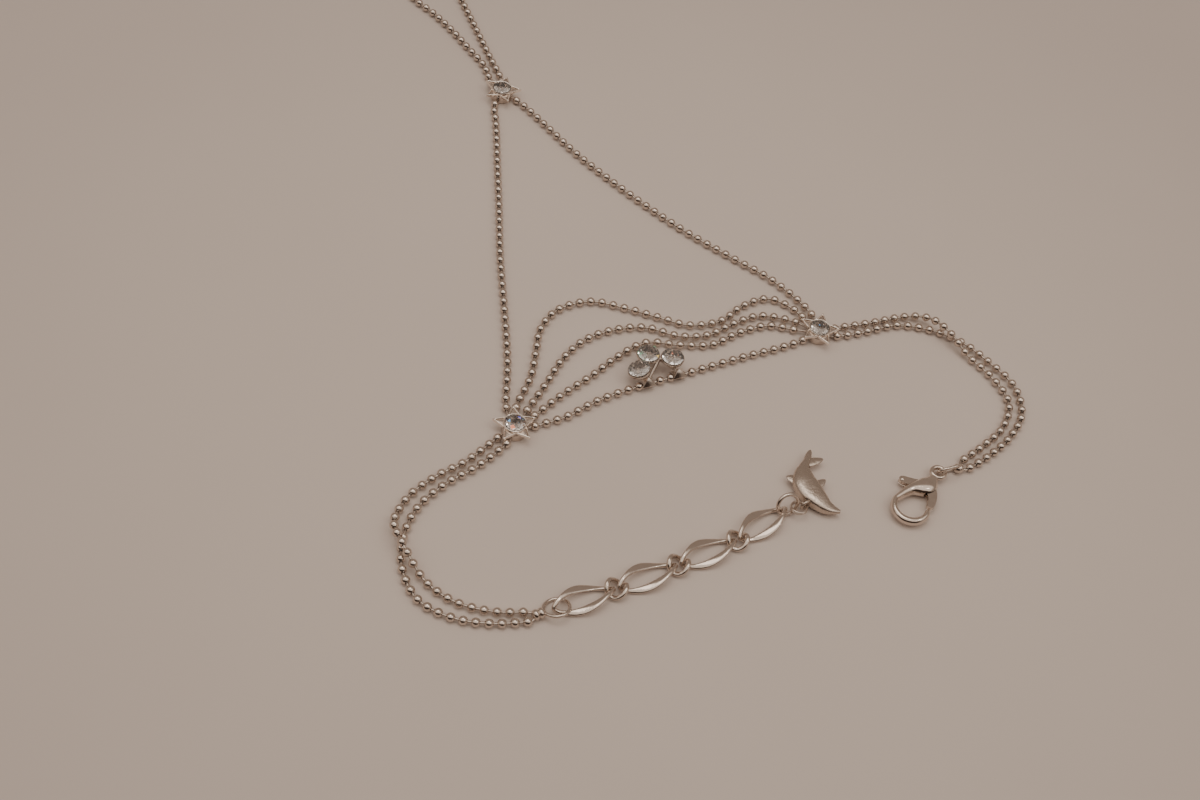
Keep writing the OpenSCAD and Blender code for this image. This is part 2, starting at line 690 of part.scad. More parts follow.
// The lever: a gate arm that closes on the hook's tip, and a thumb tab
lever_swing = 25;
LEVER_OUTLINE = clasp_l * [[0.175, 0.59], [0.09, 0.62], [-0.03, 0.59], [-0.24, 0.51],
    [-0.39, 0.47], [-0.41, 0.4], [-0.34, 0.36], [-0.16, 0.41], [0.02, 0.46], [0.13, 0.4],
    [0.19, 0.32], [0.21, 0.22], [0.235, 0.16], [0.31, 0.175], [0.315, 0.26], [0.29, 0.39],
    [0.24, 0.5]];
module lever_plate(t, grow) {
    linear_extrude(t, center = true)
        offset(delta = grow)
            polygon(LEVER_OUTLINE);
}
// Space cut out of the body, as wide as the lever's whole swing
module lever_room() {
    for (turn = [-lever_swing - 2, -lever_swing * 0.5, 2])
        translate([each PIN, 0])
            rotate(turn)
                translate([-PIN.x, -PIN.y, 0])
                    lever_plate(slot_t, 0.15);
}
module clasp_lever() {
    color(bright_silver)
        at_clasp()
            difference() {
                lever_plate(lever_t, 0);
                translate([each PIN, 0])
                    cylinder(d = pin_d + 2 * pin_clearance, h = 2 * lever_t, center = true);
            }
}

star(TOP, top_turn);  // star_top
star(LEFT, left_turn);  // star_left
star(RIGHT, right_turn);  // star_right
star_crystal(TOP, top_turn);  // crystal_top
star_crystal(LEFT, left_turn);  // crystal_left
star_crystal(RIGHT, right_turn);  // crystal_right
cluster_setting();
cluster_crystal(CUP_A, outer_tilt);  // cluster_crystal_1
cluster_crystal(CUP_B, 0);  // cluster_crystal_2
cluster_crystal(CUP_C, 0);  // cluster_crystal_3
ball_strand(ROUTE_HAND_LEFT, short_lead, long_lead);  // hand_strand_left
ball_strand(ROUTE_HAND_RIGHT, short_lead, long_lead);  // hand_strand_right
ball_strand(ROUTE_GARLAND_1, long_lead, long_lead);  // garland_1
ball_strand(ROUTE_GARLAND_2, long_lead, long_lead);  // garland_2
ball_strand(ROUTE_GARLAND_3, long_lead, long_lead);  // garland_3
ball_strand(ROUTE_GARLAND_4, short_lead, short_lead);  // garland_4
strand_wire(ROUTE_HAND_LEFT, short_lead, long_lead);  // hand_thread_left
strand_wire(ROUTE_HAND_RIGHT, short_lead, long_lead);  // hand_thread_right
strand_wire(ROUTE_GARLAND_1, long_lead, long_lead);  // garland_thread_1
strand_wire(ROUTE_GARLAND_2, long_lead, long_lead);  // garland_thread_2
strand_wire(ROUTE_GARLAND_3, long_lead, long_lead);  // garland_thread_3
strand_wire(ROUTE_GARLAND_4, short_lead, short_lead);  // garland_thread_4
strand_tube(ROUTE_WRIST_LEFT_1, LEFT_CROSSING);  // wrist_strand_left_1
strand_tube(ROUTE_WRIST_LEFT_2, FLAT);  // wrist_strand_left_2
strand_tube(ROUTE_WRIST_RIGHT_1, RIGHT_CROSSING);  // wrist_strand_right_1
strand_tube(ROUTE_WRIST_RIGHT_2, FLAT);  // wrist_strand_right_2
strand_tube(ROUTE_FINGER_LOOP, FLAT);  // finger_loop
end_ring_left();
end_ring_right();
long_link(LONG_1, bend_1);  // long_link_1
long_link(LONG_2, bend_2);  // long_link_2
long_link(LONG_3, bend_3);  // long_link_3
long_link(LONG_4, bend_4);  // long_link_4
small_link(SMALL_1, bend_1, bend_2);  // small_link_1
small_link(SMALL_2, bend_2, bend_3);  // small_link_2
small_link(SMALL_3, bend_3, bend_4);  // small_link_3
open_ring();
charm_ring();
dolphin_charm();
clasp_body();
clasp_lever();
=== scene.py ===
"""Looks of the hand chain bracelet: ball chains, crystal stars, cluster, links, charm and clasp."""

import logging
import math
import random
from dataclasses import dataclass
from enum import Enum, IntEnum

import bmesh
import bpy
import numpy as np
from mathutils import Matrix, Vector


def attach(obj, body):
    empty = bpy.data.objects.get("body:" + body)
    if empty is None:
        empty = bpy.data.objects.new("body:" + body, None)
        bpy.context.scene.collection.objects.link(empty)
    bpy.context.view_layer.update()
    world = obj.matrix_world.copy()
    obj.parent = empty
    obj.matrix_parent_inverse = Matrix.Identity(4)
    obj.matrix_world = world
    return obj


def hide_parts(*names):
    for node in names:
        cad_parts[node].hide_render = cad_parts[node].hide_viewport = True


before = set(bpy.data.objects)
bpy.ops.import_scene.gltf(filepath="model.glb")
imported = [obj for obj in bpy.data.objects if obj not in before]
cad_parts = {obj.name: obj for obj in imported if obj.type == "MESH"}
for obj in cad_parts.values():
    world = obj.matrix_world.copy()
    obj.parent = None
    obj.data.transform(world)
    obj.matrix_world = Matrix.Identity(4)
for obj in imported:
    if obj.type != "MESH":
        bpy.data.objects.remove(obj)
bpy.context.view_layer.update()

LOG = logging.getLogger("hand_chain")
MM = 0.001
Point = tuple[float, ...]
Face = tuple[int, ...]
Colour = tuple[float, float, float]
BEVEL_SEGMENTS = 3
BEVEL_FROM = 32.0
MAINS = 8
HALVES = 2 * MAINS


class Rides(Enum):
    """The body that a piece moves with."""

    BRACELET = "bracelet"
    LEVER = "lever"


class Slot(Enum):
    """The record's material slot of each piece."""

    SILVER = "silver"
    POLISHED = "polished_silver"
    WIRE = "wire"
    CRYSTAL = "crystal"


class StarSlot(IntEnum):
    """Place of each finish on a star; the rim's lighter finish is a painted highlight and the
    recess's darker one is painted shade.
    """

    HUB = 0
    RIM = 1
    RECESS = 2


class GemSlot(IntEnum):
    """Place of each finish on a crystal, where the painted glints follow one another; the darker
    foil paints dark reflections.
    """

    STONE = 0
    FOIL = 1
    DARK_FOIL = 2
    SPARK = 3


class StarPlace(Enum):
    """Middle of each star in plan and the heading of one of its points."""

    TOP = (-39.0, 42.5, 12.0)
    LEFT = (-21.5, -38.5, 34.0)
    RIGHT = (27.5, -4.5, 12.0)

    @property
    def middle(self) -> np.ndarray:
        """Middle of the star in plan, in millimetres."""
        return np.array(self.value[:2])

    @property
    def turn(self) -> float:
        """Heading of one point, in degrees."""
        return self.value[2]


class FinishNodes:
    """The shader of one finish, with the noise, blends and ranges that feed it."""

    def __init__(self, name: str) -> None:
        """Start a material with its shader and the piece's own coordinates.

        Args:
            name: Name of the material.
        """
        self.material = bpy.data.materials.new(name)
        self.material.use_nodes = True
        self.tree = self.material.node_tree
        self.bsdf = self.tree.nodes["Principled BSDF"]
        self.place = self.tree.nodes.new("ShaderNodeTexCoord").outputs["Object"]

    def link(self, source: bpy.types.NodeSocket, target: bpy.types.NodeSocket) -> None:
        """Join an output to an input."""
        self.tree.links.new(source, target)

    def noise(self, scale: float, detail: float = 2.0) -> bpy.types.NodeSocket:
        """Add noise in the piece's own space.

        Args:
            scale: Lumps in a metre.
            detail: Finer layers of noise.

        Returns:
            Its grey output.
        """
        node = self.tree.nodes.new("ShaderNodeTexNoise")
        node.inputs["Scale"].default_value = scale
        node.inputs["Detail"].default_value = detail
        self.link(self.place, node.inputs["Vector"])
        return node.outputs["Fac"]

    def blend(self, share: bpy.types.NodeSocket, low: Colour,
              high: Colour) -> bpy.types.NodeSocket:
        """Mix two colours.

        Args:
            share: Output that says how much of the second colour there is.
            low: First colour.
            high: Second colour.

        Returns:
            The mixed colour.
        """
        node = self.tree.nodes.new("ShaderNodeMix")
        node.data_type = "RGBA"
        node.inputs["A"].default_value = (*low, 1)
        node.inputs["B"].default_value = (*high, 1)
        self.link(share, node.inputs["Factor"])
        return node.outputs["Result"]

    def spread(self, value: bpy.types.NodeSocket, start: tuple[float, float],
               end: tuple[float, float], soft: bool = False) -> bpy.types.NodeSocket:
        """Map a value from one range to another.

        Args:
            value: Output to map.
            start: The range it comes in.
            end: The range it goes out in.
            soft: Whether both ends of the range are eased.

        Returns:
            The mapped value.
        """
        node = self.tree.nodes.new("ShaderNodeMapRange")
        if soft:
            node.interpolation_type = "SMOOTHSTEP"
        node.inputs["From Min"].default_value, node.inputs["From Max"].default_value = start
        node.inputs["To Min"].default_value, node.inputs["To Max"].default_value = end
        self.link(value, node.inputs["Value"])
        return node.outputs["Result"]


@dataclass(frozen=True)
class SilverFinish:
    """Plated metal with soft wear, faint casting ripple and a warm tone."""

    name: str
    light: Colour = (0.73, 0.64, 0.57)
    dull: Colour = (0.60, 0.52, 0.455)
    rough_low: float = 0.08
    rough_high: float = 0.22
    wear_size: float = 1.2
    wear_detail: float = 5.0
    wear_range: tuple[float, float] = (0.3, 0.7)
    ripple_size: float = 0.35
    ripple_detail: float = 3.0
    ripple: float = 0.05

    def material(self) -> bpy.types.Material:
        """Build the node tree.

        Returns:
            The material.
        """
        nodes = FinishNodes(self.name)
        nodes.bsdf.inputs["Metallic"].default_value = 1.0
        wear = nodes.noise(1 / (self.wear_size * MM), self.wear_detail)
        nodes.link(nodes.blend(wear, self.dull, self.light), nodes.bsdf.inputs["Base Color"])
        rough = nodes.spread(wear, self.wear_range, (self.rough_high, self.rough_low))
        nodes.link(rough, nodes.bsdf.inputs["Roughness"])
        height = nodes.noise(1 / (self.ripple_size * MM), self.ripple_detail)
        bump = nodes.tree.nodes.new("ShaderNodeBump")
        bump.inputs["Strength"].default_value = self.ripple
        bump.inputs["Distance"].default_value = self.ripple_size * MM
        nodes.link(height, bump.inputs["Height"])
        nodes.link(bump.outputs["Normal"], nodes.bsdf.inputs["Normal"])
        return nodes.material


@dataclass(frozen=True)
class CrystalFinish:
    """Clear cut crystal, faintly cloudy."""

    name: str
    tint: Colour = (0.95, 0.91, 0.87)
    ior: float = 1.6
    clear: float = 0.95
    cloud_size: float = 0.8
    haze: float = 0.03

    def material(self) -> bpy.types.Material:
        """Build the node tree.

        Returns:
            The material.
        """
        nodes = FinishNodes(self.name)
        nodes.bsdf.inputs["Transmission Weight"].default_value = self.clear
        nodes.bsdf.inputs["IOR"].default_value = self.ior
        cloud = nodes.noise(1 / (self.cloud_size * MM))
        nodes.link(nodes.blend(cloud, self.tint, (1, 1, 1)), nodes.bsdf.inputs["Base Color"])
        rough = nodes.spread(cloud, (0.0, 1.0), (0.0, self.haze))
        nodes.link(rough, nodes.bsdf.inputs["Roughness"])
        return nodes.material


class Spark(Enum):
    """Colour of a painted glint: a single facet given a bright colour that glows."""

    SKY = (0.12, 0.5, 0.95)
    VIOLET = (0.12, 0.1, 0.85)
    ORANGE = (1.0, 0.26, 0.08)
    YELLOW = (1.0, 0.66, 0.06)
    GREEN = (0.1, 0.75, 0.3)

    @property
    def slot(self) -> int:
        """Material slot of the painted glint on a crystal."""
        return GemSlot.SPARK + list(Spark).index(self)


@dataclass(frozen=True)
class GlintFinish:
    """A painted glint: a facet given one bright colour that glows, standing in for the light a cut
    crystal splits.
    """

    name: str
    colour: Colour
    glow: float = 0.45
    rough: float = 0.08
    cloud_size: float = 0.3
    pale: float = 0.35

    def material(self) -> bpy.types.Material:
        """Build the node tree.

        Returns:
            The material.
        """
        nodes = FinishNodes(self.name)
        nodes.bsdf.inputs["Roughness"].default_value = self.rough
        # The facet glows though it is no lamp: a painted glint.
        nodes.bsdf.inputs["Emission Strength"].default_value = self.glow
        cloud = nodes.noise(1 / (self.cloud_size * MM))
        washed = tuple(self.pale + (1 - self.pale) * c for c in self.colour)
        tone = nodes.blend(cloud, self.colour, washed)
        nodes.link(tone, nodes.bsdf.inputs["Base Color"])
        nodes.link(tone, nodes.bsdf.inputs["Emission Color"])
        return nodes.material


@dataclass(frozen=True)
class TableFinish:
    """Plain pale table top with a faint mottle, and painted shade that darkens it a little away
    from its middle.

    Its middle and the reach of the painted falloff are in metres.
    """

    name: str
    light: Colour = (0.72, 0.63, 0.57)
    dark: Colour = (0.69, 0.60, 0.54)
    rough: float = 0.75
    mottle: float = 25.0
    middle: tuple[float, float] = (0.0, -0.02)
    fall: tuple[float, float] = (0.04, 0.17)
    dim: float = 0.84

    def material(self) -> bpy.types.Material:
        """Build the node tree.

        Returns:
            The material.
        """
        nodes = FinishNodes(self.name)
        nodes.bsdf.inputs["Roughness"].default_value = self.rough
        tone = nodes.blend(nodes.noise(self.mottle), self.dark, self.light)
        # Painted shade: the colour is scaled down away from the middle, a painted falloff of light.
        away = nodes.tree.nodes.new("ShaderNodeVectorMath")
        away.operation = "DISTANCE"
        away.inputs[1].default_value = (*self.middle, 0.0)
        nodes.link(nodes.place, away.inputs[0])
        dimming = nodes.spread(away.outputs["Value"], self.fall, (1.0, self.dim), soft=True)
        shade = nodes.tree.nodes.new("ShaderNodeVectorMath")
        shade.operation = "SCALE"
        nodes.link(tone, shade.inputs["Vector"])
        nodes.link(dimming, shade.inputs["Scale"])
        nodes.link(shade.outputs["Vector"], nodes.bsdf.inputs["Base Color"])
        return nodes.material


class Finishes:
    """Every finish of the bracelet, made once."""

    def __init__(self) -> None:
        """Make the materials."""
        self.balls = SilverFinish("ball_silver", rough_low=0.1, rough_high=0.19).material()
        self.silver = SilverFinish("cast_silver", rough_low=0.08, rough_high=0.2).material()
        self.clasp = SilverFinish("clasp_silver", light=(0.78, 0.68, 0.6), rough_low=0.04,
                                  rough_high=0.1).material()
        self.charm = SilverFinish("charm_silver", light=(0.64, 0.55, 0.475),
                                  dull=(0.52, 0.44, 0.38), rough_low=0.2, rough_high=0.34,
                                  ripple_size=0.5, ripple=0.12).material()
        # A darker, rougher silver for the threads; on the cluster's legs it is painted shade.
        self.wire = SilverFinish("wire_silver", light=(0.6, 0.52, 0.46),
                                 dull=(0.48, 0.41, 0.355), rough_low=0.18,
                                 rough_high=0.32).material()
        # A lighter copy of the silver for the stars' borders and bezels: a painted highlight.
        self.rim = SilverFinish("bright_rim_silver", light=(0.95, 0.86, 0.78),
                                dull=(0.86, 0.77, 0.69), rough_low=0.12,
                                rough_high=0.26).material()
        # A darker, rougher copy for the stars' sunk fields: painted shade.
        self.recess = SilverFinish("recess_silver", light=(0.7, 0.61, 0.54),
                                   dull=(0.57, 0.49, 0.43), rough_low=0.16,
                                   rough_high=0.3).material()
        self.crystal = CrystalFinish("crystal_clear").material()
        self.crystal_warm = CrystalFinish("crystal_warm", tint=(0.8, 0.72, 0.64)).material()
        self.foil = SilverFinish("crystal_foil", light=(0.92, 0.86, 0.81),
                                 dull=(0.74, 0.68, 0.63), rough_low=0.02, rough_high=0.06,
                                 ripple=0.0).material()
        # A darker foil for some facets: painted dark reflection.
        self.foil_dark = SilverFinish("crystal_foil_dark", light=(0.4, 0.34, 0.31),
                                      dull=(0.26, 0.21, 0.19), rough_low=0.03,
                                      rough_high=0.08, ripple=0.0).material()
        # Coloured facets that glow: painted glints.
        self.sparks = [GlintFinish(f"crystal_{spark.name.lower()}", spark.value).material()
                       for spark in Spark]

    def gem(self, warm: bool) -> list[bpy.types.Material]:
        """Materials of a crystal: stone, foil, the darker foil that paints dark reflections, and
        the glowing facets that are painted glints.

        Args:
            warm: Whether the stone is a smaller, browner one of the stars.

        Returns:
            The materials in the order of their slots.
        """
        stone = self.crystal_warm if warm else self.crystal
        return [stone, self.foil, self.foil_dark, *self.sparks]


class MeshParts:
    """Points and faces of one piece, gathered in millimetres."""

    def __init__(self) -> None:
        """Start empty."""
        self.points: list[np.ndarray] = []
        self.faces: list[Face] = []
        self.slots: list[int] = []
        self.count = 0

    def add(self, points: np.ndarray, faces: list[Face], slot: int = 0) -> None:
        """Add points and the faces between them.

        Args:
            points: Rows of x, y and z.
            faces: Faces that count from the first of these points.
            slot: Material slot of the faces.
        """
        start = self.count
        self.points.append(np.asarray(points, float))
        self.faces.extend(tuple(start + i for i in f) for f in faces)
        self.slots.extend([slot] * len(faces))
        self.count += len(points)

    def add_rings(self, rings: np.ndarray, closed: bool = False, capped: bool = True,
                  slot: int = 0) -> None:
        """Join rings of points into a skin.

        Args:
            rings: Array of rings, sides and coordinates.
            closed: Whether the last ring joins the first.
            capped: Whether open ends get a flat face.
            slot: Material slot of the faces.
        """
        count, sides = rings.shape[:2]
        faces: list[Face] = []
        for i in range(count if closed else count - 1):
            j = (i + 1) % count
            for k in range(sides):
                n = (k + 1) % sides
                faces.append((i * sides + k, i * sides + n, j * sides + n, j * sides + k))
        if capped and not closed:
            faces.append(tuple(range(sides - 1, -1, -1)))
            faces.append(tuple((count - 1) * sides + k for k in range(sides)))
        self.add(rings.reshape(-1, 3), faces, slot)

    def build(self, name: str, materials: list[bpy.types.Material], body: Rides,
              slot: Slot, smooth_angle: float = 40.0) -> bpy.types.Object:
        """Make the object.

        Args:
            name: Name of the piece.
            materials: One material for each slot number used.
            body: The body that it rides on.
            slot: The record's material slot; not used.
            smooth_angle: Edges sharper than this, in degrees, stay crisp.

        Returns:
            The object, in place.
        """
        mesh = bpy.data.meshes.new(name)
        points = np.concatenate(self.points) * MM
        mesh.from_pydata(points.tolist(), [], self.faces)
        for material in materials:
            mesh.materials.append(material)
        mesh.polygons.foreach_set("material_index", self.slots)
        mesh.validate()
        outward(mesh)
        mesh.shade_smooth()
        mesh.set_sharp_from_angle(angle=math.radians(smooth_angle))
        obj = bpy.data.objects.new(name, mesh)
        bpy.context.scene.collection.objects.link(obj)
        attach(obj, body.value)
        return obj


def outward(mesh: bpy.types.Mesh) -> None:
    """Turn the faces of a mesh so that they look outwards.

    Args:
        mesh: The mesh, which is changed.
    """
    work = bmesh.new()
    work.from_mesh(mesh)
    bmesh.ops.recalc_face_normals(work, faces=work.faces)
    work.to_mesh(mesh)
    work.free()


def heading(angle: float) -> np.ndarray:
    """Unit vector in plan at an angle in degrees."""
    return np.array([math.cos(math.radians(angle)), math.sin(math.radians(angle))])


def unit(v: np.ndarray) -> np.ndarray:
    """The vector at length one."""
    return v / np.linalg.norm(v)


def turned(points: np.ndarray, roll: float, pitch: float, azimuth: float) -> np.ndarray:
    """Turn points about x, then y, then z.

    Args:
        points: Rows of x, y and z.
        roll: Degrees about x.
        pitch: Degrees about y.
        azimuth: Degrees about z.

    Returns:
        The turned rows.
    """
    turn = (Matrix.Rotation(math.radians(azimuth), 3, "Z")
            @ Matrix.Rotation(math.radians(pitch), 3, "Y")
            @ Matrix.Rotation(math.radians(roll), 3, "X"))
    return points @ np.array(turn).T


def smooth_route(points: np.ndarray, steps: int) -> np.ndarray:
    """Smooth curve through points, spaced by the root of their distances.

    Args:
        points: Rows of coordinates.
        steps: Pieces between one point and the next.

    Returns:
        Rows of the curve.
    """
    ends = np.vstack([2 * points[0] - points[1], points, 2 * points[-1] - points[-2]])
    rows = []
    for i in range(1, len(ends) - 2):
        p0, p1, p2, p3 = ends[i - 1:i + 3]
        t1 = math.sqrt(np.linalg.norm(p1 - p0))
        t2 = t1 + math.sqrt(np.linalg.norm(p2 - p1))
        t3 = t2 + math.sqrt(np.linalg.norm(p3 - p2))
        for k in range(steps):
            t = t1 + (t2 - t1) * k / steps
            a1 = p0 + (p1 - p0) * t / t1
            a2 = p1 + (p2 - p1) * (t - t1) / (t2 - t1)
            a3 = p2 + (p3 - p2) * (t - t2) / (t3 - t2)
            b1 = a1 + (a2 - a1) * t / t2
            b2 = a2 + (a3 - a2) * (t - t1) / (t3 - t1)
            rows.append(b1 + (b2 - b1) * (t - t1) / (t2 - t1))
    rows.append(points[-1])
    return np.array(rows)


def swept(path: np.ndarray, wide: np.ndarray, high: np.ndarray, up: np.ndarray, sides: int,
          closed: bool = False, power: float = 1.0) -> np.ndarray:
    """Rings of an oval section along a path.

    Args:
        path: Rows of x, y and z.
        wide: Half width of the section at each row.
        high: Half height of the section at each row.
        up: Direction of the section's height at each row.
        sides: Points of a ring.
        closed: Whether the path is a loop.
        power: Below one for a fuller, squarer section.

    Returns:
        Array of rings, sides and coordinates.
    """
    if closed:
        ahead = np.roll(path, -1, axis=0) - np.roll(path, 1, axis=0)
    else:
        ahead = np.gradient(path, axis=0)
    ahead /= np.linalg.norm(ahead, axis=1)[:, None]
    lift = up - (up * ahead).sum(axis=1)[:, None] * ahead
    lift /= np.linalg.norm(lift, axis=1)[:, None]
    side = np.cross(ahead, lift)
    angle = 2 * np.pi * np.arange(sides) / sides
    c = np.sign(np.cos(angle)) * np.abs(np.cos(angle)) ** power
    s = np.sign(np.sin(angle)) * np.abs(np.sin(angle)) ** power
    return (path[:, None] + (wide[:, None] * c[None])[..., None] * side[:, None]
            + (high[:, None] * s[None])[..., None] * lift[:, None])


def lathe(profile: np.ndarray, sides: int) -> np.ndarray:
    """Rings round the z axis from rows of radius and height.

    Args:
        profile: Rows of radius and height.
        sides: Points of a ring.

    Returns:
        Array of rings, sides and coordinates.
    """
    angle = 2 * np.pi * np.arange(sides) / sides
    return np.stack([profile[:, :1] * np.cos(angle), profile[:, :1] * np.sin(angle),
                     np.repeat(profile[:, 1:2], sides, axis=1)], axis=2)


def circle_path(radius: float, count: int) -> np.ndarray:
    """A round loop in plan about the origin."""
    angle = 2 * np.pi * np.arange(count) / count
    return np.stack([radius * np.cos(angle), radius * np.sin(angle), 0 * angle], axis=1)


def upright(count: int) -> np.ndarray:
    """The upward direction, once for each row of a path."""
    return np.tile([0.0, 0.0, 1.0], (count, 1))


def wire_loop(path: np.ndarray, wire_d: float, sides: int, high: float = 1.0) -> np.ndarray:
    """Rings of a closed loop of wire that lies in plan.

    Args:
        path: Rows of x, y and z of the wire's middle.
        wire_d: Thickness of the wire.
        sides: Points of a ring.
        high: Height of the wire as a share of its width.

    Returns:
        The rings.
    """
    radius = np.full(len(path), wire_d / 2)
    return swept(path, radius, radius * high, upright(len(path)), sides, closed=True)


def along_edge(outline: np.ndarray) -> np.ndarray:
    """Direction of a closed outline at each of its points, at length one."""
    along = np.roll(outline, -1, axis=0) - np.roll(outline, 1, axis=0)
    return along / np.linalg.norm(along, axis=1)[:, None]


def point_at(line: np.ndarray, along: np.ndarray, distance: float) -> np.ndarray:
    """Point of a line at a distance along it.

    Args:
        line: Rows of x, y and z.
        along: Distance of each row from the first.
        distance: The distance wanted.

    Returns:
        The point.
    """
    return np.array([np.interp(distance, along, line[:, i]) for i in range(3)])


@dataclass(frozen=True)
class Leave:
    """How a strand leaves or reaches a star: heading at the hub and a little further out."""

    star: StarPlace
    angle: float
    lead_angle: float
    hub_r: float = 2.2
    joint_gap: float = 0.3
    root_depth: float = 0.1
    lead_r: float = 4.4

    def points(self) -> np.ndarray:
        """Two points, from the hub outwards."""
        return np.array([self.star.middle + (self.hub_r + self.joint_gap) * heading(self.angle),
                         self.star.middle + self.lead_r * heading(self.lead_angle)])

    def root(self) -> Point:
        """Point just inside the hub, where the wire is soldered."""
        return tuple(self.star.middle + (self.hub_r - self.root_depth) * heading(self.angle))


@dataclass
class BallStrand:
    """One strand of balls on a wire, laid along its route."""

    node: str
    start: Leave
    way: list[Point]
    end: Leave | None
    wire_node: str | None = None
    leads: tuple[float, float] = (1.0, 1.0)
    crossing: Point | None = None
    soldered_at: Point | None = None
    route_steps: int = 16
    lift: float = 1.8
    rise_w: float = 8.0
    ball_d: float = 1.5
    pitch: float = 2.0
    hole_d: float = 0.62
    lip_roll: float = 3.0
    skin_rows: int = 17
    ball_sides: int = 26
    # Random play of each ball: along the wire in millimetres, about it in radians.
    jitter: float = 0.03
    spin: float = 6.28
    wire_d: float = 0.4
    wire_sides: int = 10
    wire_step: float = 0.5
    least_steps: int = 12

    def line(self) -> np.ndarray:
        """Middle line of the strand, in millimetres.

        Returns:
            Rows of x, y and z.
        """
        rows = [self.start.points(), np.array(self.way)]
        if self.end:
            rows.append(self.end.points()[::-1])
        plan = smooth_route(np.vstack(rows), self.route_steps)
        rise = np.zeros(len(plan))
        if self.crossing:
            share = np.linalg.norm(plan - np.array(self.crossing), axis=1) / self.rise_w
            bell = self.lift * (1 + np.cos(np.pi * np.minimum(share, 1))) / 2
            rise = np.where(share < 1, bell, 0)
        return np.column_stack([plan, self.ball_d / 2 + rise])

    def spots(self, line: np.ndarray) -> tuple[np.ndarray, np.ndarray]:
        """Distances along the line, of its points and of the balls.

        Args:
            line: Middle line of the strand.

        Returns:
            Distance of each point of the line, and of each ball.
        """
        along = np.concatenate([[0], np.cumsum(np.linalg.norm(np.diff(line, axis=0), axis=1))])
        run = along[-1] - sum(self.leads)
        count = round(run / self.pitch)
        return along, self.leads[0] + run * np.arange(count + 1) / count

    def ball_profile(self) -> np.ndarray:
        """Radius and height of a ball's skin, with rolled lips round its two holes.

        Returns:
            Rows of radius and height.
        """
        r = self.ball_d / 2
        hole = self.hole_d / 2
        start = math.degrees(math.asin(hole / r)) + self.lip_roll
        arc = np.radians(np.linspace(start, 180 - start, self.skin_rows))
        skin = np.column_stack([r * np.sin(arc), r * np.cos(arc)])
        top = skin[0, 1]
        lip = np.array([[hole, top - 0.14], [hole - 0.01, top - 0.03],
                        [hole + 0.03, top + 0.015]])
        return np.vstack([lip, skin, lip[::-1] * [1, -1]])

    def chain(self, finishes: Finishes, line: np.ndarray, along: np.ndarray,
              balls: np.ndarray) -> bpy.types.Object:
        """Make the balls, each turned at random about the wire.

        Args:
            finishes: The bracelet's finishes.
            line: Middle line of the strand.
            along: Distance of each of its points.
            balls: Distance of each ball.

        Returns:
            The balls as one piece.
        """
        ring = lathe(self.ball_profile(), self.ball_sides)
        rng = random.Random(self.node)
        reach = self.ball_d / 2
        parts = MeshParts()
        for d in balls:
            place = point_at(line, along, d + rng.uniform(-self.jitter, self.jitter))
            ahead = unit(point_at(line, along, d + reach) - point_at(line, along, d - reach))
            turn = Vector(ahead).to_track_quat("Z", "Y").to_matrix()
            spin = Matrix.Rotation(rng.uniform(0, self.spin), 3, "Z")
            parts.add_rings(ring @ np.array(turn @ spin).T + place, capped=False)
        return parts.build(self.node + "_balls", [finishes.balls], Rides.BRACELET, Slot.POLISHED)

    def thread(self, finishes: Finishes, line: np.ndarray, along: np.ndarray) -> bpy.types.Object:
        """Make the wire from one soldered end to the other.

        Args:
            finishes: The bracelet's finishes.
            line: Middle line of the strand.
            along: Distance of each of its points.

        Returns:
            The wire.
        """
        steps = max(self.least_steps, int(along[-1] / self.wire_step))
        path = np.array([point_at(line, along, d) for d in np.linspace(0, along[-1], steps)])
        last = self.end.root() if self.end else self.soldered_at
        path = np.vstack([[*self.start.root(), self.ball_d / 2], path, [*last, self.ball_d / 2]])
        radius = np.full(len(path), self.wire_d / 2)
        parts = MeshParts()
        parts.add_rings(swept(path, radius, radius, upright(len(path)), self.wire_sides))
        return parts.build(self.node + "_wire", [finishes.wire], Rides.BRACELET, Slot.WIRE)

    def build(self, finishes: Finishes) -> list[bpy.types.Object]:
        """Make the balls and the wire.

        Args:
            finishes: The bracelet's finishes.

        Returns:
            The balls and the wire.
        """
        line = self.line()
        along, balls = self.spots(line)
        chain = self.chain(finishes, line, along, balls)
        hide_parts(self.node)
        thread = self.thread(finishes, line, along)
        if self.wire_node:
            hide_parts(self.wire_node)
        LOG.info("%s: %d balls, %.1f mm", self.node, len(balls), along[-1])
        return [chain, thread]


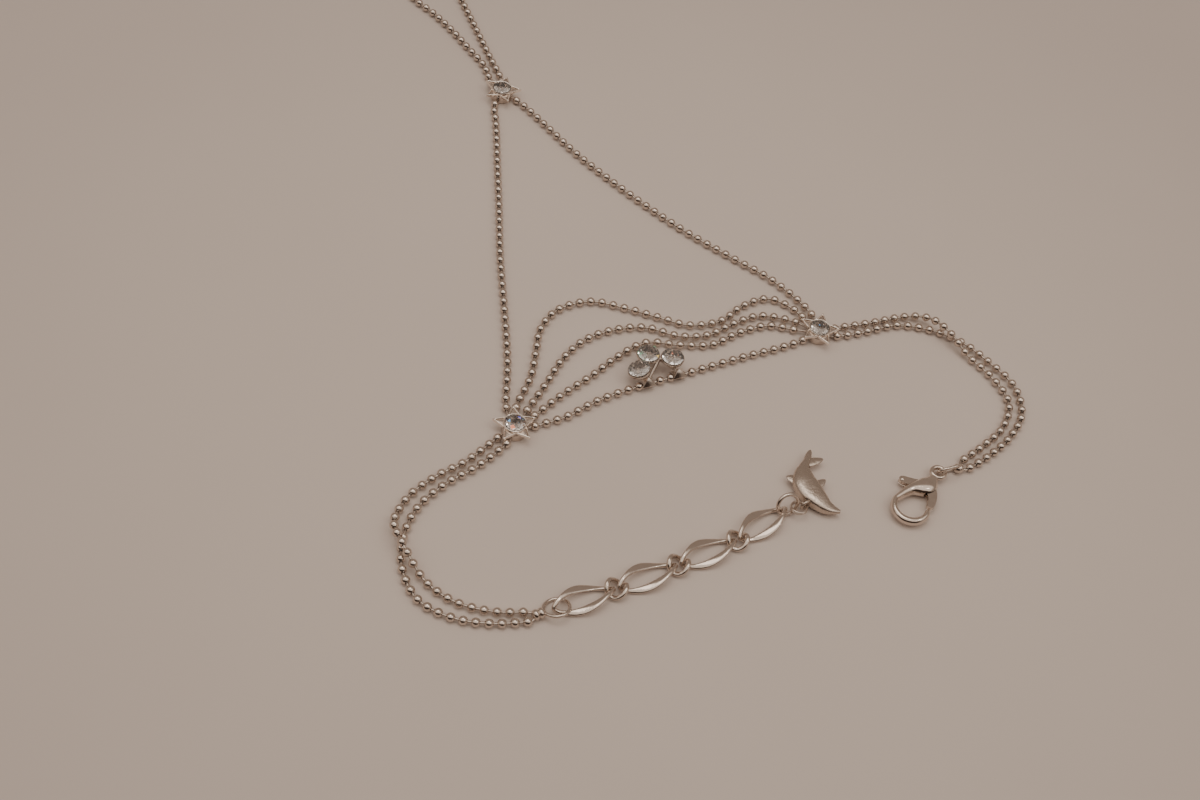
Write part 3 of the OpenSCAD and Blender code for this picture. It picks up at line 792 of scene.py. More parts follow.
@dataclass
class StarSetting:
    """A five-point star with a raised border, on its hub, with a bezel round the seat."""

    node: str
    place: StarPlace
    points: int = 5
    tip_r: float = 3.9
    notch_r: float = 2.0
    edge_t: float = 0.5
    edge_step: float = 1.5
    sunk: float = 0.24
    swell: float = 0.12
    swell_fade: float = 0.7
    swell_power: float = 1.5
    border_rings: int = 9
    field_rings: int = 13
    field_span: tuple[float, float] = (0.83, 0.42)
    hub_r: float = 2.2
    hub_h: float = 1.6
    hub_sides: int = 64
    collar_h: float = 0.8
    seat_r: float = 1.75
    wall: float = 0.25
    seat_depth: float = 1.2
    bezel_sides: int = 72
    smooth_angle: float = 32.0

    @property
    def half_gap(self) -> float:
        """Degrees from a point of the star to the next notch."""
        return 180 / self.points

    def fold(self, angle: float) -> float:
        """Degrees to the nearest point of the star, from degrees past one of them."""
        return abs((angle + self.half_gap) % (2 * self.half_gap) - self.half_gap)

    def outline(self, angle: float) -> float:
        """Radius of the star's edge at an angle in degrees from one of its points.

        Args:
            angle: Degrees from one point.

        Returns:
            Radius, in millimetres.
        """
        tip = np.array([self.tip_r, 0.0])
        notch = self.notch_r * heading(self.half_gap)
        ray = heading(self.fold(angle))
        edge = notch - tip
        cross = ray[0] * edge[1] - ray[1] * edge[0]
        return float((tip[0] * edge[1] - tip[1] * edge[0]) / cross)

    def top(self, radius: float, angle: float) -> float:
        """Height above the hub of the sunk field inside the raised border.

        Args:
            radius: Distance from the star's middle.
            angle: Degrees from one of its points.

        Returns:
            Height, in millimetres.
        """
        fold = math.radians(self.fold(angle))
        x = radius * math.cos(fold)
        y = radius * math.sin(fold)
        notch_x, notch_y = self.notch_r * heading(self.half_gap)
        side = (notch_y * (self.tip_r - x) / (self.tip_r - notch_x) if x > notch_x
                else x * notch_y / notch_x)
        across = min(1.0, y / max(side, 1e-6))
        swell = self.swell * (1 - self.swell_fade * x / self.tip_r)
        return self.edge_t - self.sunk + swell * (1 - across ** self.swell_power)

    def plate(self) -> np.ndarray:
        """Rings of the star plate, from its underside over the edge to the bezel.

        Returns:
            The rings.
        """
        angles = np.arange(0, 360, self.edge_step)
        raw = np.array([self.outline(a) for a in angles])
        edge = (np.roll(raw, 1) + 4 * raw + np.roll(raw, -1)) / 6
        t = self.edge_t
        # Share of the outline and height of each ring of the underside, edge and border.
        rows = [(0.6, 0.0), (0.97, 0.0), (0.995, 0.05), (1.0, 0.14), (1.0, t - 0.12),
                (0.99, t - 0.03), (0.965, t + 0.03), (0.93, t + 0.05), (0.89, t + 0.02),
                (0.86, t - 0.05), (0.845, t - self.sunk)]
        rows += [(share, None) for share in np.linspace(*self.field_span, self.field_rings)]
        return np.array([[[*(share * r * heading(a)),
                           self.top(share * r, a) if level is None else level]
                          for a, r in zip(angles, edge)] for share, level in rows])

    def bezel(self) -> np.ndarray:
        """Radius and height of the bezel, from its foot over the rim to the seat.

        Returns:
            Rows of radius and height.
        """
        rim = self.collar_h
        outer = self.seat_r + self.wall
        floor = rim - self.seat_depth
        return np.array([[outer + 0.03, 0.3], [outer + 0.02, rim - 0.22],
                         [outer - 0.02, rim - 0.08], [outer - 0.08, rim - 0.01],
                         [outer - 0.14, rim], [self.seat_r + 0.05, rim - 0.03],
                         [self.seat_r, rim - 0.1], [self.seat_r, rim - 0.3],
                         [self.seat_r - 0.02, floor + 0.1], [self.seat_r - 0.15, floor],
                         [0.02, floor]])

    def hub(self) -> np.ndarray:
        """Radius and height of the hub that the star stands on.

        Returns:
            Rows of radius and height.
        """
        return np.array([[0.02, -self.hub_h], [self.hub_r - 0.1, -self.hub_h],
                         [self.hub_r, -self.hub_h + 0.1], [self.hub_r, -0.1],
                         [self.hub_r - 0.1, 0.0], [self.hub_r - 0.1, self.edge_t / 2]])

    def build(self, finishes: Finishes) -> bpy.types.Object:
        """Make the star with its hub and bezel.

        Args:
            finishes: The bracelet's finishes.

        Returns:
            The star.
        """
        parts = MeshParts()
        plate = self.plate()
        bezel = lathe(self.bezel(), self.bezel_sides)
        hub = lathe(self.hub(), self.hub_sides)
        for rings, slot in ((plate, StarSlot.RECESS), (bezel, StarSlot.RIM),
                            (hub, StarSlot.HUB)):
            parts.add_rings(turned(rings, 0, 0, self.place.turn)
                            + [*self.place.middle, self.hub_h], capped=False, slot=slot)
        # The first rings of faces, from the underside over the border, take the lighter finish, a
        # painted highlight; the sunk field keeps the darker one, painted shade.
        border = self.border_rings * plate.shape[1]
        parts.slots[:border] = [StarSlot.RIM] * border
        star = parts.build(self.node, [finishes.silver, finishes.rim, finishes.recess],
                           Rides.BRACELET, Slot.SILVER, self.smooth_angle)
        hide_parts(self.node)
        return star


class Corner(IntEnum):
    """Index of the first corner in each row of a brilliant's corners."""

    TABLE = 0
    SHOULDER = 8
    GIRDLE = 16
    LOW_GIRDLE = 32
    BELLY = 48
    CULET = 56
    SPOT = 57
    MIDDLE = 65


@dataclass
class BrilliantCrystal:
    """A round brilliant with its foil behind the pavilion."""

    node: str
    middle: Point
    radius: float
    turn: float
    tilt: float = 0.0
    # Painted glints: heading in degrees, share of the radius and colour of each crown facet that
    # glows.
    sparks: tuple[tuple[float, float, Spark], ...] = ()
    warm: bool = False
    # Share of the foil facets that take the darker foil, a painted dark reflection.
    dark_share: float = 0.5
    table_share: float = 0.56
    spot_share: float = 0.2
    mid_share: float = 0.8
    crown_share: float = 0.3
    shoulder_share: float = 0.62
    girdle_share: float = 0.06
    belly_share: float = 0.45
    belly_drop: float = 0.6
    depth_share: float = 0.64
    foil_gap: float = 0.02
    crisp_angle: float = 1.0

    def points(self, grow: float) -> np.ndarray:
        """The corners, row by row in the order of Corner.

        Args:
            grow: Extra distance outwards, for the foil behind the stone.

        Returns:
            Rows of x, y and z.
        """
        r = self.radius

        def ring(radius: float, count: int, start: float, z: float) -> np.ndarray:
            """Points round the axis."""
            return np.array([[*(radius * heading(start + 360 * i / count)), z]
                             for i in range(count)])

        depth = self.depth_share
        belly_z = -r * (self.girdle_share + self.belly_drop * (depth - self.girdle_share))
        half = 180 / MAINS
        return np.vstack([
            ring(r * self.table_share, MAINS, 0, r * self.crown_share),
            ring(r * self.mid_share, MAINS, half, r * self.crown_share * self.shoulder_share),
            ring(r + grow, HALVES, 0, 0.0),
            ring(r + grow, HALVES, 0, -r * self.girdle_share - grow),
            ring(r * self.belly_share + grow, MAINS, half, belly_z - grow),
            [[0, 0, -r * depth - grow]],
            ring(r * self.spot_share, MAINS, 0, r * self.crown_share),
            [[0, 0, r * self.crown_share]]])

    def crown(self) -> list[Face]:
        """Faces of the table, the stars, the kites, the halves and the girdle.

        Returns:
            The faces.
        """
        faces: list[Face] = []
        for i in range(MAINS):
            j, h = (i + 1) % MAINS, (i - 1) % MAINS
            table, table_next = Corner.TABLE + i, Corner.TABLE + j
            spot, spot_next = Corner.SPOT + i, Corner.SPOT + j
            shoulder, shoulder_last = Corner.SHOULDER + i, Corner.SHOULDER + h
            high = [Corner.GIRDLE + k % HALVES for k in (2 * i, 2 * i + 1, 2 * i + 2)]
            low = [Corner.LOW_GIRDLE + k % HALVES for k in (2 * i, 2 * i + 1, 2 * i + 2)]
            faces += [(spot, spot_next, Corner.MIDDLE), (table, table_next, spot_next, spot),
                      (table_next, table, shoulder), (table, shoulder_last, high[0], shoulder),
                      (shoulder, high[0], high[1]), (shoulder, high[1], high[2]),
                      (high[1], high[0], low[0], low[1]), (high[2], high[1], low[1], low[2])]
        return faces

    def pavilion(self) -> list[Face]:
        """Faces below the girdle: sixteen halves and eight mains.

        Returns:
            The faces.
        """
        faces: list[Face] = []
        for i in range(MAINS):
            belly, belly_last = Corner.BELLY + i, Corner.BELLY + (i - 1) % MAINS
            low = [Corner.LOW_GIRDLE + k % HALVES for k in (2 * i, 2 * i + 1, 2 * i + 2)]
            faces += [(belly, low[1], low[0]), (belly, low[2], low[1]),
                      (Corner.CULET, belly, low[0], belly_last)]
        return faces

    def build(self, finishes: Finishes) -> bpy.types.Object:
        """Make the crystal.

        Args:
            finishes: The bracelet's finishes.

        Returns:
            The crystal with its foil.
        """
        parts = MeshParts()
        crown, pavilion = self.crown(), self.pavilion()
        for grow, faces, slot in ((0.0, crown + pavilion, GemSlot.STONE),
                                  (self.foil_gap, pavilion, GemSlot.FOIL)):
            points = turned(turned(self.points(grow), 0, 0, self.turn), 0, self.tilt, 180)
            parts.add(points + list(self.middle), faces, slot)
        # Foil facets taken at random get the darker foil: painted dark reflections.
        rng = random.Random(self.node)
        for i in range(len(crown) + len(pavilion), len(parts.faces)):
            if rng.random() < self.dark_share:
                parts.slots[i] = GemSlot.DARK_FOIL
        points = np.concatenate(parts.points)
        centres = np.array([points[list(face)].mean(axis=0)[:2]
                            for face in parts.faces[:len(crown)]])
        # The crown facets nearest the given places get the glowing colours: painted glints.
        for angle, share, spark in self.sparks:
            spot = np.array(self.middle[:2]) + share * self.radius * heading(angle)
            near = np.linalg.norm(centres - spot, axis=1).argmin()
            parts.slots[int(near)] = spark.slot
        stone = parts.build(self.node, finishes.gem(self.warm), Rides.BRACELET, Slot.CRYSTAL,
                            self.crisp_angle)
        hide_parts(self.node)
        return stone


@dataclass
class CrystalCluster:
    """Three cups on legs above two pyramid clamps, which the lowest strand runs through."""

    node: str = "cluster_setting"
    clamps: tuple[Point, Point] = ((-1.1, -23.8), (3.8, -20.6))
    junction: Point = (0.2, -19.0, 2.5)
    cup_a: Point = (-3.0, -22.75, 3.4)
    cup_b: Point = (-1.85, -18.95, 3.4)
    cup_c: Point = (2.4, -18.7, 3.4)
    tilt: float = 18.0
    clamp_l: float = 2.6
    clamp_w: float = 1.8
    clamp_z: float = 1.1
    clamp_side: float = 0.15
    clamp_h: float = 1.6
    clamp_bevel: float = 0.17
    tunnel_d: float = 1.8
    tunnel_reach: float = 12.0
    tunnel_sides: int = 48
    strand_z: float = 0.75
    leg_r: float = 0.36
    leg_foot_r: float = 0.24
    leg_start_z: float = 1.9
    leg_swell: float = 0.7
    leg_up: Point = (0.3, 0.2, 0.93)
    leg_rings: int = 11
    leg_sides: int = 18
    # The legs take the darker wire finish: painted shade.
    leg_slot: int = 1
    foot_share: float = 0.8
    cup_depth: float = 1.6
    cup_drop: float = 0.28
    cup_base_r: float = 0.9
    cup_sides: int = 72
    inner_r: float = 1.85
    wall: float = 0.2
    smooth_angle: float = 30.0

    @property
    def clamp_turn(self) -> float:
        """Heading of the strand through the clamps, in degrees."""
        (x0, y0), (x1, y1) = self.clamps
        return math.degrees(math.atan2(y1 - y0, x1 - x0))

    def pyramid(self, place: Point) -> tuple[np.ndarray, list[Face]]:
        """Points and faces of one clamp before its tunnel is cut.

        Args:
            place: Middle of the clamp in plan.

        Returns:
            Rows of x, y and z, and the faces.
        """
        x, y = self.clamp_l / 2, self.clamp_w / 2
        corners = [(-x, -y), (x, -y), (x, y), (-x, y)]
        points = np.array([[*c, 0.0] for c in corners] + [[*c, self.clamp_side] for c in corners]
                          + [[0.0, 0.0, self.clamp_h]])
        faces: list[Face] = [(3, 2, 1, 0)]
        for i in range(4):
            j = (i + 1) % 4
            faces += [(i, j, 4 + j, 4 + i), (4 + i, 4 + j, 8)]
        return turned(points, 0, 0, self.clamp_turn) + [*place, self.clamp_z], faces

    def leg(self, low: Point, high: Point, foot_r: float) -> np.ndarray:
        """Rings of a leg that widens from its foot to its head.

        Args:
            low: Middle of its foot.
            high: Middle of its head.
            foot_r: Radius at the foot.

        Returns:
            The rings.
        """
        share = np.linspace(0, 1, self.leg_rings)[:, None]
        path = np.array(low) * (1 - share) + np.array(high) * share
        growth = np.sin(np.pi / 2 * share[:, 0]) ** self.leg_swell
        radius = foot_r + (self.leg_r - foot_r) * growth
        up = np.tile(self.leg_up, (len(path), 1))
        return swept(path, radius, radius, up, self.leg_sides)

    def cup(self, middle: Point, tilt: float) -> np.ndarray:
        """Rings of one cup, from the foot up over the rim and down to the seat.

        Args:
            middle: Middle of the crystal's girdle.
            tilt: Degrees that the cup leans.

        Returns:
            The rings.
        """
        outer = self.inner_r + self.wall
        d, rim, inner = self.cup_depth, -self.cup_drop, self.inner_r
        profile = np.array([
            [0.02, -d], [self.cup_base_r, -d], [self.cup_base_r + 0.12, -d + 0.06],
            [outer - 0.16, -d * 0.52], [outer - 0.03, -d * 0.42], [outer, -d * 0.36],
            [outer, rim - 0.06], [outer - 0.03, rim - 0.01], [outer - 0.08, rim],
            [inner + 0.06, rim], [inner, rim - 0.05], [inner - 0.02, -d * 0.35],
            [self.cup_base_r * 0.6, -d + 0.2], [0.02, -d + 0.2]])
        return turned(lathe(profile, self.cup_sides), 0, tilt, 180) + list(middle)

    def build(self, finishes: Finishes) -> bpy.types.Object:
        """Make the setting.

        Args:
            finishes: The bracelet's finishes.

        Returns:
            The clamps, legs and cups as one piece.
        """
        blocks = MeshParts()
        for place in self.clamps:
            blocks.add(*self.pyramid(place))
        tunnel = MeshParts()
        rod = lathe(np.array([[self.tunnel_d / 2, -self.tunnel_reach],
                              [self.tunnel_d / 2, self.tunnel_reach]]), self.tunnel_sides)
        middle = [*self.clamps[0], self.strand_z]
        tunnel.add_rings(turned(rod, 0, 90, self.clamp_turn) + middle)
        clamps = carved(blocks, tunnel, self.clamp_bevel, finishes.silver)
        parts = MeshParts()
        parts.add(*clamps)
        apex = [(*place, self.leg_start_z) for place in self.clamps]
        under = -self.cup_depth * self.foot_share
        feet = [(cup[0], cup[1], cup[2] + under) for cup in (self.cup_a, self.cup_b, self.cup_c)]
        for low, high, foot_r in ((apex[0], self.junction, self.leg_foot_r),
                                  (apex[1], self.junction, self.leg_foot_r),
                                  (self.junction, feet[1], self.leg_r),
                                  (self.junction, feet[2], self.leg_r),
                                  (apex[0], feet[0], self.leg_foot_r)):
            parts.add_rings(self.leg(low, high, foot_r), slot=self.leg_slot)
        for cup, tilt in ((self.cup_a, self.tilt), (self.cup_b, 0.0), (self.cup_c, 0.0)):
            parts.add_rings(self.cup(cup, tilt), capped=False)
        setting = parts.build(self.node, [finishes.silver, finishes.wire], Rides.BRACELET,
                              Slot.SILVER, self.smooth_angle)
        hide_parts(self.node)
        return setting


def carved(block: MeshParts, tool: MeshParts, bevel: float,
           material: bpy.types.Material) -> tuple[np.ndarray, list[Face]]:
    """Cut one set of meshes from another and soften the edges that are left.

    Args:
        block: What is kept.
        tool: What is cut away.
        bevel: Width of the softened edges, in millimetres.
        material: Finish of the block, which carries through the cut.

    Returns:
        Points in millimetres and faces.
    """
    objs = []
    for name, part in (("carved_block", block), ("carving_tool", tool)):
        mesh = bpy.data.meshes.new(name)
        mesh.from_pydata(np.concatenate(part.points).tolist(), [], part.faces)
        mesh.materials.append(material)
        outward(mesh)
        obj = bpy.data.objects.new(name, mesh)
        bpy.context.scene.collection.objects.link(obj)
        objs.append(obj)
    cut = objs[0].modifiers.new("cut", "BOOLEAN")
    cut.object = objs[1]
    cut.solver = "EXACT"
    cut.use_self = True
    soften = objs[0].modifiers.new("soften", "BEVEL")
    soften.width = bevel
    soften.segments = BEVEL_SEGMENTS
    soften.limit_method = "ANGLE"
    soften.angle_limit = math.radians(BEVEL_FROM)
    bpy.context.view_layer.update()
    graph = bpy.context.evaluated_depsgraph_get()
    mesh = objs[0].evaluated_get(graph).to_mesh()
    points = np.array([v.co[:] for v in mesh.vertices])
    faces = [tuple(p.vertices) for p in mesh.polygons]
    objs[0].evaluated_get(graph).to_mesh_clear()
    for obj in objs:
        bpy.data.objects.remove(obj)
    return points, faces


@dataclass(frozen=True)
class ExtensionLayout:
    """Places of the extension chain's links and rings, in millimetres."""

    ring_left: Point = (-9.0, -71.0)
    smalls: tuple[Point, ...] = ((-0.5, -65.5), (8.5, -59.0), (17.3, -52.2))
    last_bend: float = 48.0
    long_l: float = 10.1
    small_d: float = 3.3
    overlap: float = 1.15
    z: float = 1.06
    open_r: float = 1.85
    open_wire_d: float = 0.65
    open_back: float = 1.5
    open_turn: float = 30.0
    open_lean: float = 66.0
    open_clear: float = 0.02
    charm_r: float = 1.3
    charm_wire_d: float = 0.55
    charm_lean: float = -10.0
    charm_slack: float = 0.11
    charm_side: float = 6.0
    charm_z: float = 1.4
    loop_slack: float = 0.14
    loop_turn: float = 40.0

    @property
    def bends(self) -> list[float]:
        """Headings of the four long links, in degrees.

        Returns:
            One heading for each link.
        """
        stops = [self.ring_left, *self.smalls]
        turns = [math.degrees(math.atan2(b[1] - a[1], b[0] - a[0]))
                 for a, b in zip(stops, stops[1:])]
        return [*turns, self.last_bend]

    @property
    def longs(self) -> list[np.ndarray]:
        """Middles of the four long links in plan.

        Returns:
            One middle for each link.
        """
        reach = (self.long_l + self.small_d) / 2 - self.overlap
        a, b, c = (np.array(p) for p in self.smalls)
        return [a - reach * heading(self.bends[0]), (a + b) / 2, (b + c) / 2,
                c + reach * heading(self.last_bend)]

    @property
    def open_z(self) -> float:
        """Height of the open ring's middle, which leans with its foot just off the table."""
        return (self.open_r * math.sin(math.radians(self.open_lean)) + self.open_wire_d / 2
                + self.open_clear)

    @property
    def open_ring(self) -> np.ndarray:
        """Middle of the open ring in plan."""
        return (self.longs[3] + self.long_l / 2 * heading(self.last_bend)
                + (self.open_r - self.open_back) * heading(self.open_turn))

    @property
    def charm_ring(self) -> np.ndarray:
        """Middle of the charm's split ring in plan."""
        return self.open_ring + (self.open_r + self.charm_slack) * heading(self.charm_side)

    @property
    def dolphin_loop(self) -> np.ndarray:
        """Middle of the dolphin's loop in plan."""
        return self.charm_ring + (self.charm_r + self.loop_slack) * heading(self.loop_turn)


@dataclass
class TwistedLink:
    """A loop of flattened wire whose plane turns about its long axis."""

    node: str
    middle: Point
    bend: float
    length: float
    width: float
    pinch: float
    flat: float
    z: float
    wire_d: float = 0.7
    twist: float = 45.0
    flat_power: int = 5
    thinning: float = 0.35
    fullness: float = 0.8
    count: int = 132
    sides: int = 18

    def build(self, finishes: Finishes) -> bpy.types.Object:
        """Make the link.

        Args:
            finishes: The bracelet's finishes.

        Returns:
            The link.
        """
        angle = 2 * np.pi * np.arange(self.count) / self.count
        turn = np.radians(-self.twist * np.cos(angle))
        across = np.sign(np.sin(angle)) * np.abs(np.sin(angle)) ** self.pinch * self.width / 2
        path = np.stack([np.cos(angle) * self.length / 2, across * np.cos(turn),
                         across * np.sin(turn)], axis=1)
        up = np.stack([0 * angle, -np.sin(turn), np.cos(turn)], axis=1)
        side = np.abs(np.sin(angle)) ** self.flat_power
        wide = self.wire_d / 2 * (1 + self.flat * side)
        high = self.wire_d / 2 * (1 - self.flat * self.thinning * side)
        parts = MeshParts()
        rings = swept(path, wide, high, up, self.sides, closed=True, power=self.fullness)
        parts.add_rings(turned(rings, 0, 0, self.bend) + [*self.middle, self.z], closed=True)
        link = parts.build(self.node, [finishes.silver], Rides.BRACELET, Slot.SILVER)
        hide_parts(self.node)
        return link


@dataclass
class WireRing:
    """A ring of round wire with a sawn seam, wound once or more."""

    node: str
    middle: Point
    radius: float
    wire_d: float
    lean: float
    turn: float
    coils: int = 1
    seam_at: float = 200.0
    seam_gap: float = 2.0
    coil_share: float = 0.62
    coil_rise: float = 0.45
    step_sharpness: float = 60.0
    wire_share: float = 0.98
    steps_a_coil: int = 110
    sides: int = 20

    def build(self, finishes: Finishes) -> bpy.types.Object:
        """Make the ring.

        Args:
            finishes: The bracelet's finishes.

        Returns:
            The ring.
        """
        coil_d = self.wire_d * (self.coil_share if self.coils > 1 else 1.0)
        sweep = 360 * self.coils - self.seam_gap
        steps = self.steps_a_coil * self.coils
        share = np.linspace(0, 1, steps)
        angle = np.radians(self.seam_at + sweep * share)
        step = np.tanh((share - 0.5) * self.step_sharpness)
        rise = self.coil_rise * coil_d * (self.coils - 1) * step
        path = np.stack([self.radius * np.cos(angle), self.radius * np.sin(angle), rise], axis=1)
        radius = np.full(steps, coil_d / 2 * self.wire_share)
        parts = MeshParts()
        rings = swept(path, radius, radius, upright(steps), self.sides)
        parts.add_rings(turned(rings, self.lean, 0, self.turn) + list(self.middle))
        ring = parts.build(self.node, [finishes.silver], Rides.BRACELET, Slot.SILVER)
        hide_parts(self.node)
        return ring


@dataclass
class EndRings:
    """The two end rings with their solder caps, where the wrist strands stop."""

    layout: ExtensionLayout
    eye: np.ndarray
    ring_r: float = 2.05
    ring_steps: int = 120
    wire_d: float = 0.55
    wire_sides: int = 20
    left_lean: float = -20.0
    left_z: float = 1.02
    cap_left_out: float = 0.95
    cap_left_l: float = 2.2
    cap_left_rows: int = 31
    lump_out: float = 0.4
    lump_half_l: float = 0.6
    cap_r: float = 0.9
    cap_sides: int = 48
    cap_right: Point = (53.15, -29.1)
    cap_right_rows: int = 24
    waist: float = 0.06
    waist_w: float = 0.18
    end_r: float = 1.2
    straight: float = 1.6
    bow_steps: int = 40
    right_lean: float = 68.0

    def left(self, finishes: Finishes) -> bpy.types.Object:
        """Make the left ring with its crimped barrel.

        Args:
            finishes: The bracelet's finishes.

        Returns:
            The ring.
        """
        bend = self.layout.bends[0]
        rings = wire_loop(circle_path(self.ring_r, self.ring_steps), self.wire_d, self.wire_sides)
        parts = MeshParts()
        parts.add_rings(turned(rings, self.left_lean, 0, bend)
                        + [*self.layout.ring_left, self.left_z], closed=True)
        r, h = self.cap_r, self.cap_left_l / 2
        along = np.linspace(-h, h, self.cap_left_rows)
        lumps = [1 - ((along - side * self.lump_out * h) / (self.lump_half_l * h)) ** 2
                 for side in (-1, 1)]
        bulge = r * np.sqrt(np.clip(np.maximum(*lumps), 0.001, 1))
        barrel = lathe(np.column_stack([bulge, along]), self.cap_sides)
        place = np.array(self.layout.ring_left) - (self.ring_r + self.cap_left_out) * heading(bend)
        parts.add_rings(turned(barrel, 0, 90, bend) + [*place, r], capped=False)
        ring = parts.build("end_ring_left", [finishes.silver], Rides.BRACELET, Slot.SILVER)
        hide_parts("end_ring_left")
        return ring

    def right(self, finishes: Finishes) -> bpy.types.Object:
        """Make the long right ring with its round cap.

        Args:
            finishes: The bracelet's finishes.

        Returns:
            The ring.
        """
        cap = np.array(self.cap_right)
        gap = self.eye - cap
        turn = math.degrees(math.atan2(gap[1], gap[0]))
        reach = float(np.linalg.norm(gap)) - self.end_r - self.straight / 2
        bow = np.radians(np.linspace(-90, 90, self.bow_steps))
        nose = np.stack([self.straight / 2 + self.end_r * np.cos(bow), self.end_r * np.sin(bow),
                         0 * bow], axis=1)
        loop = np.vstack([nose, nose * [-1, -1, 1]]) + [reach, 0, 0]
        rings = wire_loop(loop, self.wire_d, self.wire_sides)
        parts = MeshParts()
        parts.add_rings(turned(rings, self.right_lean, 0, turn)
                        + [*cap, self.end_r + self.wire_d / 2], closed=True)
        arc = np.radians(np.linspace(2, 178, self.cap_right_rows))
        bulge = self.cap_r * (1 - self.waist * np.exp(-((arc - np.pi / 2) / self.waist_w) ** 2))
        profile = np.column_stack([bulge * np.sin(arc), bulge * np.cos(arc)])
        parts.add_rings(turned(lathe(profile, self.cap_sides), 0, 90, turn) + [*cap, self.cap_r])
        ring = parts.build("end_ring_right", [finishes.silver], Rides.BRACELET, Slot.SILVER)
        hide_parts("end_ring_right")
        return ring


@dataclass
class DolphinCharm:
    """A smooth dolphin lying on its side, hung by its loop from the split ring."""

    loop: np.ndarray
    length: float = 10.0
    thick: float = 2.6
    half_w: float = 2.15
    loop_r: float = 0.85
    loop_wire_d: float = 0.5
    loop_steps: int = 96
    loop_sides: int = 18
    loop_turn: float = 40.0
    loop_z: float = 1.25
    sides: int = 44
    fullness: float = 0.66
    least_wide: float = 0.08
    least_high: float = 0.15
    mouth_at: float = 132.0
    mouth_w: float = 0.09
    mouth_depth: float = 0.17
    mouth_from: float = 0.72
    mouth_fade: float = 0.06
    beak_fade: float = 0.05
    fin_sides: int = 24
    fin_taper: float = 0.62
    smooth_angle: float = 60.0
    # Place in plan as shares of the length, half width and half height as shares of the fullest.
    spine: tuple[Point, ...] = (
        (-0.016, 0.993, 0.2, 0.35), (-0.05, 0.883, 0.27, 0.45), (-0.085, 0.743, 0.43, 0.65),
        (-0.085, 0.583, 0.78, 0.85), (-0.04, 0.413, 0.98, 1.0), (0.055, 0.273, 1.0, 1.0),
        (0.18, 0.15, 0.84, 0.95), (0.316, 0.043, 0.6, 0.75), (0.454, 0.0, 0.36, 0.45),
        (0.574, -0.007, 0.12, 0.2))
    # Middle lines of the fins, as shares of the length.
    dorsal: tuple[Point, ...] = ((-0.1, 0.43), (-0.23, 0.47), (-0.36, 0.5))
    pectoral: tuple[Point, ...] = ((0.06, 0.4), (0.18, 0.46), (0.288, 0.58))
    fluke_up: tuple[Point, ...] = ((-0.035, 0.92), (-0.02, 1.04), (0.005, 1.15))
    fluke_side: tuple[Point, ...] = ((-0.03, 0.86), (0.09, 0.925), (0.225, 1.005))

    def body(self) -> np.ndarray:
        """Rings of the body from the tail's root to the beak.

        Returns:
            The rings.
        """
        rows = smooth_route(np.array(self.spine), 9)
        path = np.column_stack([rows[:, :2] * self.length, np.full(len(rows), self.thick / 2)])
        wide = np.maximum(rows[:, 2], self.least_wide) * self.half_w
        high = np.clip(rows[:, 3], self.least_high, 1.0) * self.thick / 2
        rings = swept(path, wide, high, upright(len(rows)), self.sides, power=self.fullness)
        angle = 2 * np.pi * np.arange(self.sides) / self.sides
        groove = np.exp(-((angle - math.radians(self.mouth_at)) / self.mouth_w) ** 2)
        for i, share in enumerate(np.linspace(0, 1, len(rows))):
            begun = np.clip((share - self.mouth_from) / self.mouth_fade, 0, 1)
            left = np.clip((1.0 - share) / self.beak_fade, 0, 1)
            depth = self.mouth_depth * groove * begun * left
            rings[i] = path[i] + (rings[i] - path[i]) * (1 - depth[:, None])
        return rings

    def fin(self, line: tuple[Point, ...], root: float, thick: float, lean: float) -> np.ndarray:
        """Rings of a blade from its root to its tip.

        Args:
            line: Middle line in plan, as shares of the dolphin's length.
            root: Half width at the root, in millimetres.
            thick: Half thickness at the root, in millimetres.
            lean: Rise of the tip, in millimetres.

        Returns:
            The rings.
        """
        rows = smooth_route(np.array(line) * self.length, 8)
        share = np.linspace(0, 1, len(rows))
        path = np.column_stack([rows, self.thick / 2 + lean * share])
        wide = root * np.sqrt(np.clip(1 - share ** 1.6, 0.015, 1))
        high = thick * (1 - self.fin_taper * share) * np.sqrt(np.clip(1 - share ** 8, 0.03, 1))
        return swept(path, wide, high, upright(len(rows)), self.fin_sides)

    def build(self, finishes: Finishes) -> bpy.types.Object:
        """Make the dolphin with its fins and loop.

        Args:
            finishes: The bracelet's finishes.

        Returns:
            The charm.
        """
        place = np.array([*self.loop, 0.0])
        parts = MeshParts()
        parts.add_rings(self.body() + place)
        for line, root, thick, lean in ((self.dorsal, 1.1, 0.32, 0.0),
                                        (self.pectoral, 1.0, 0.36, 0.1),
                                        (self.fluke_up, 0.62, 0.4, 0.0),
                                        (self.fluke_side, 0.95, 0.42, 0.0)):
            parts.add_rings(self.fin(line, root, thick, lean) + place)
        rings = wire_loop(circle_path(self.loop_r, self.loop_steps), self.loop_wire_d,
                          self.loop_sides)
        parts.add_rings(turned(rings, 90, 0, self.loop_turn) + place + [0, 0, self.loop_z],
                        closed=True)
        charm = parts.build("dolphin_charm", [finishes.charm], Rides.BRACELET, Slot.POLISHED,
                            self.smooth_angle)
        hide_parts("dolphin_charm")
        return charm


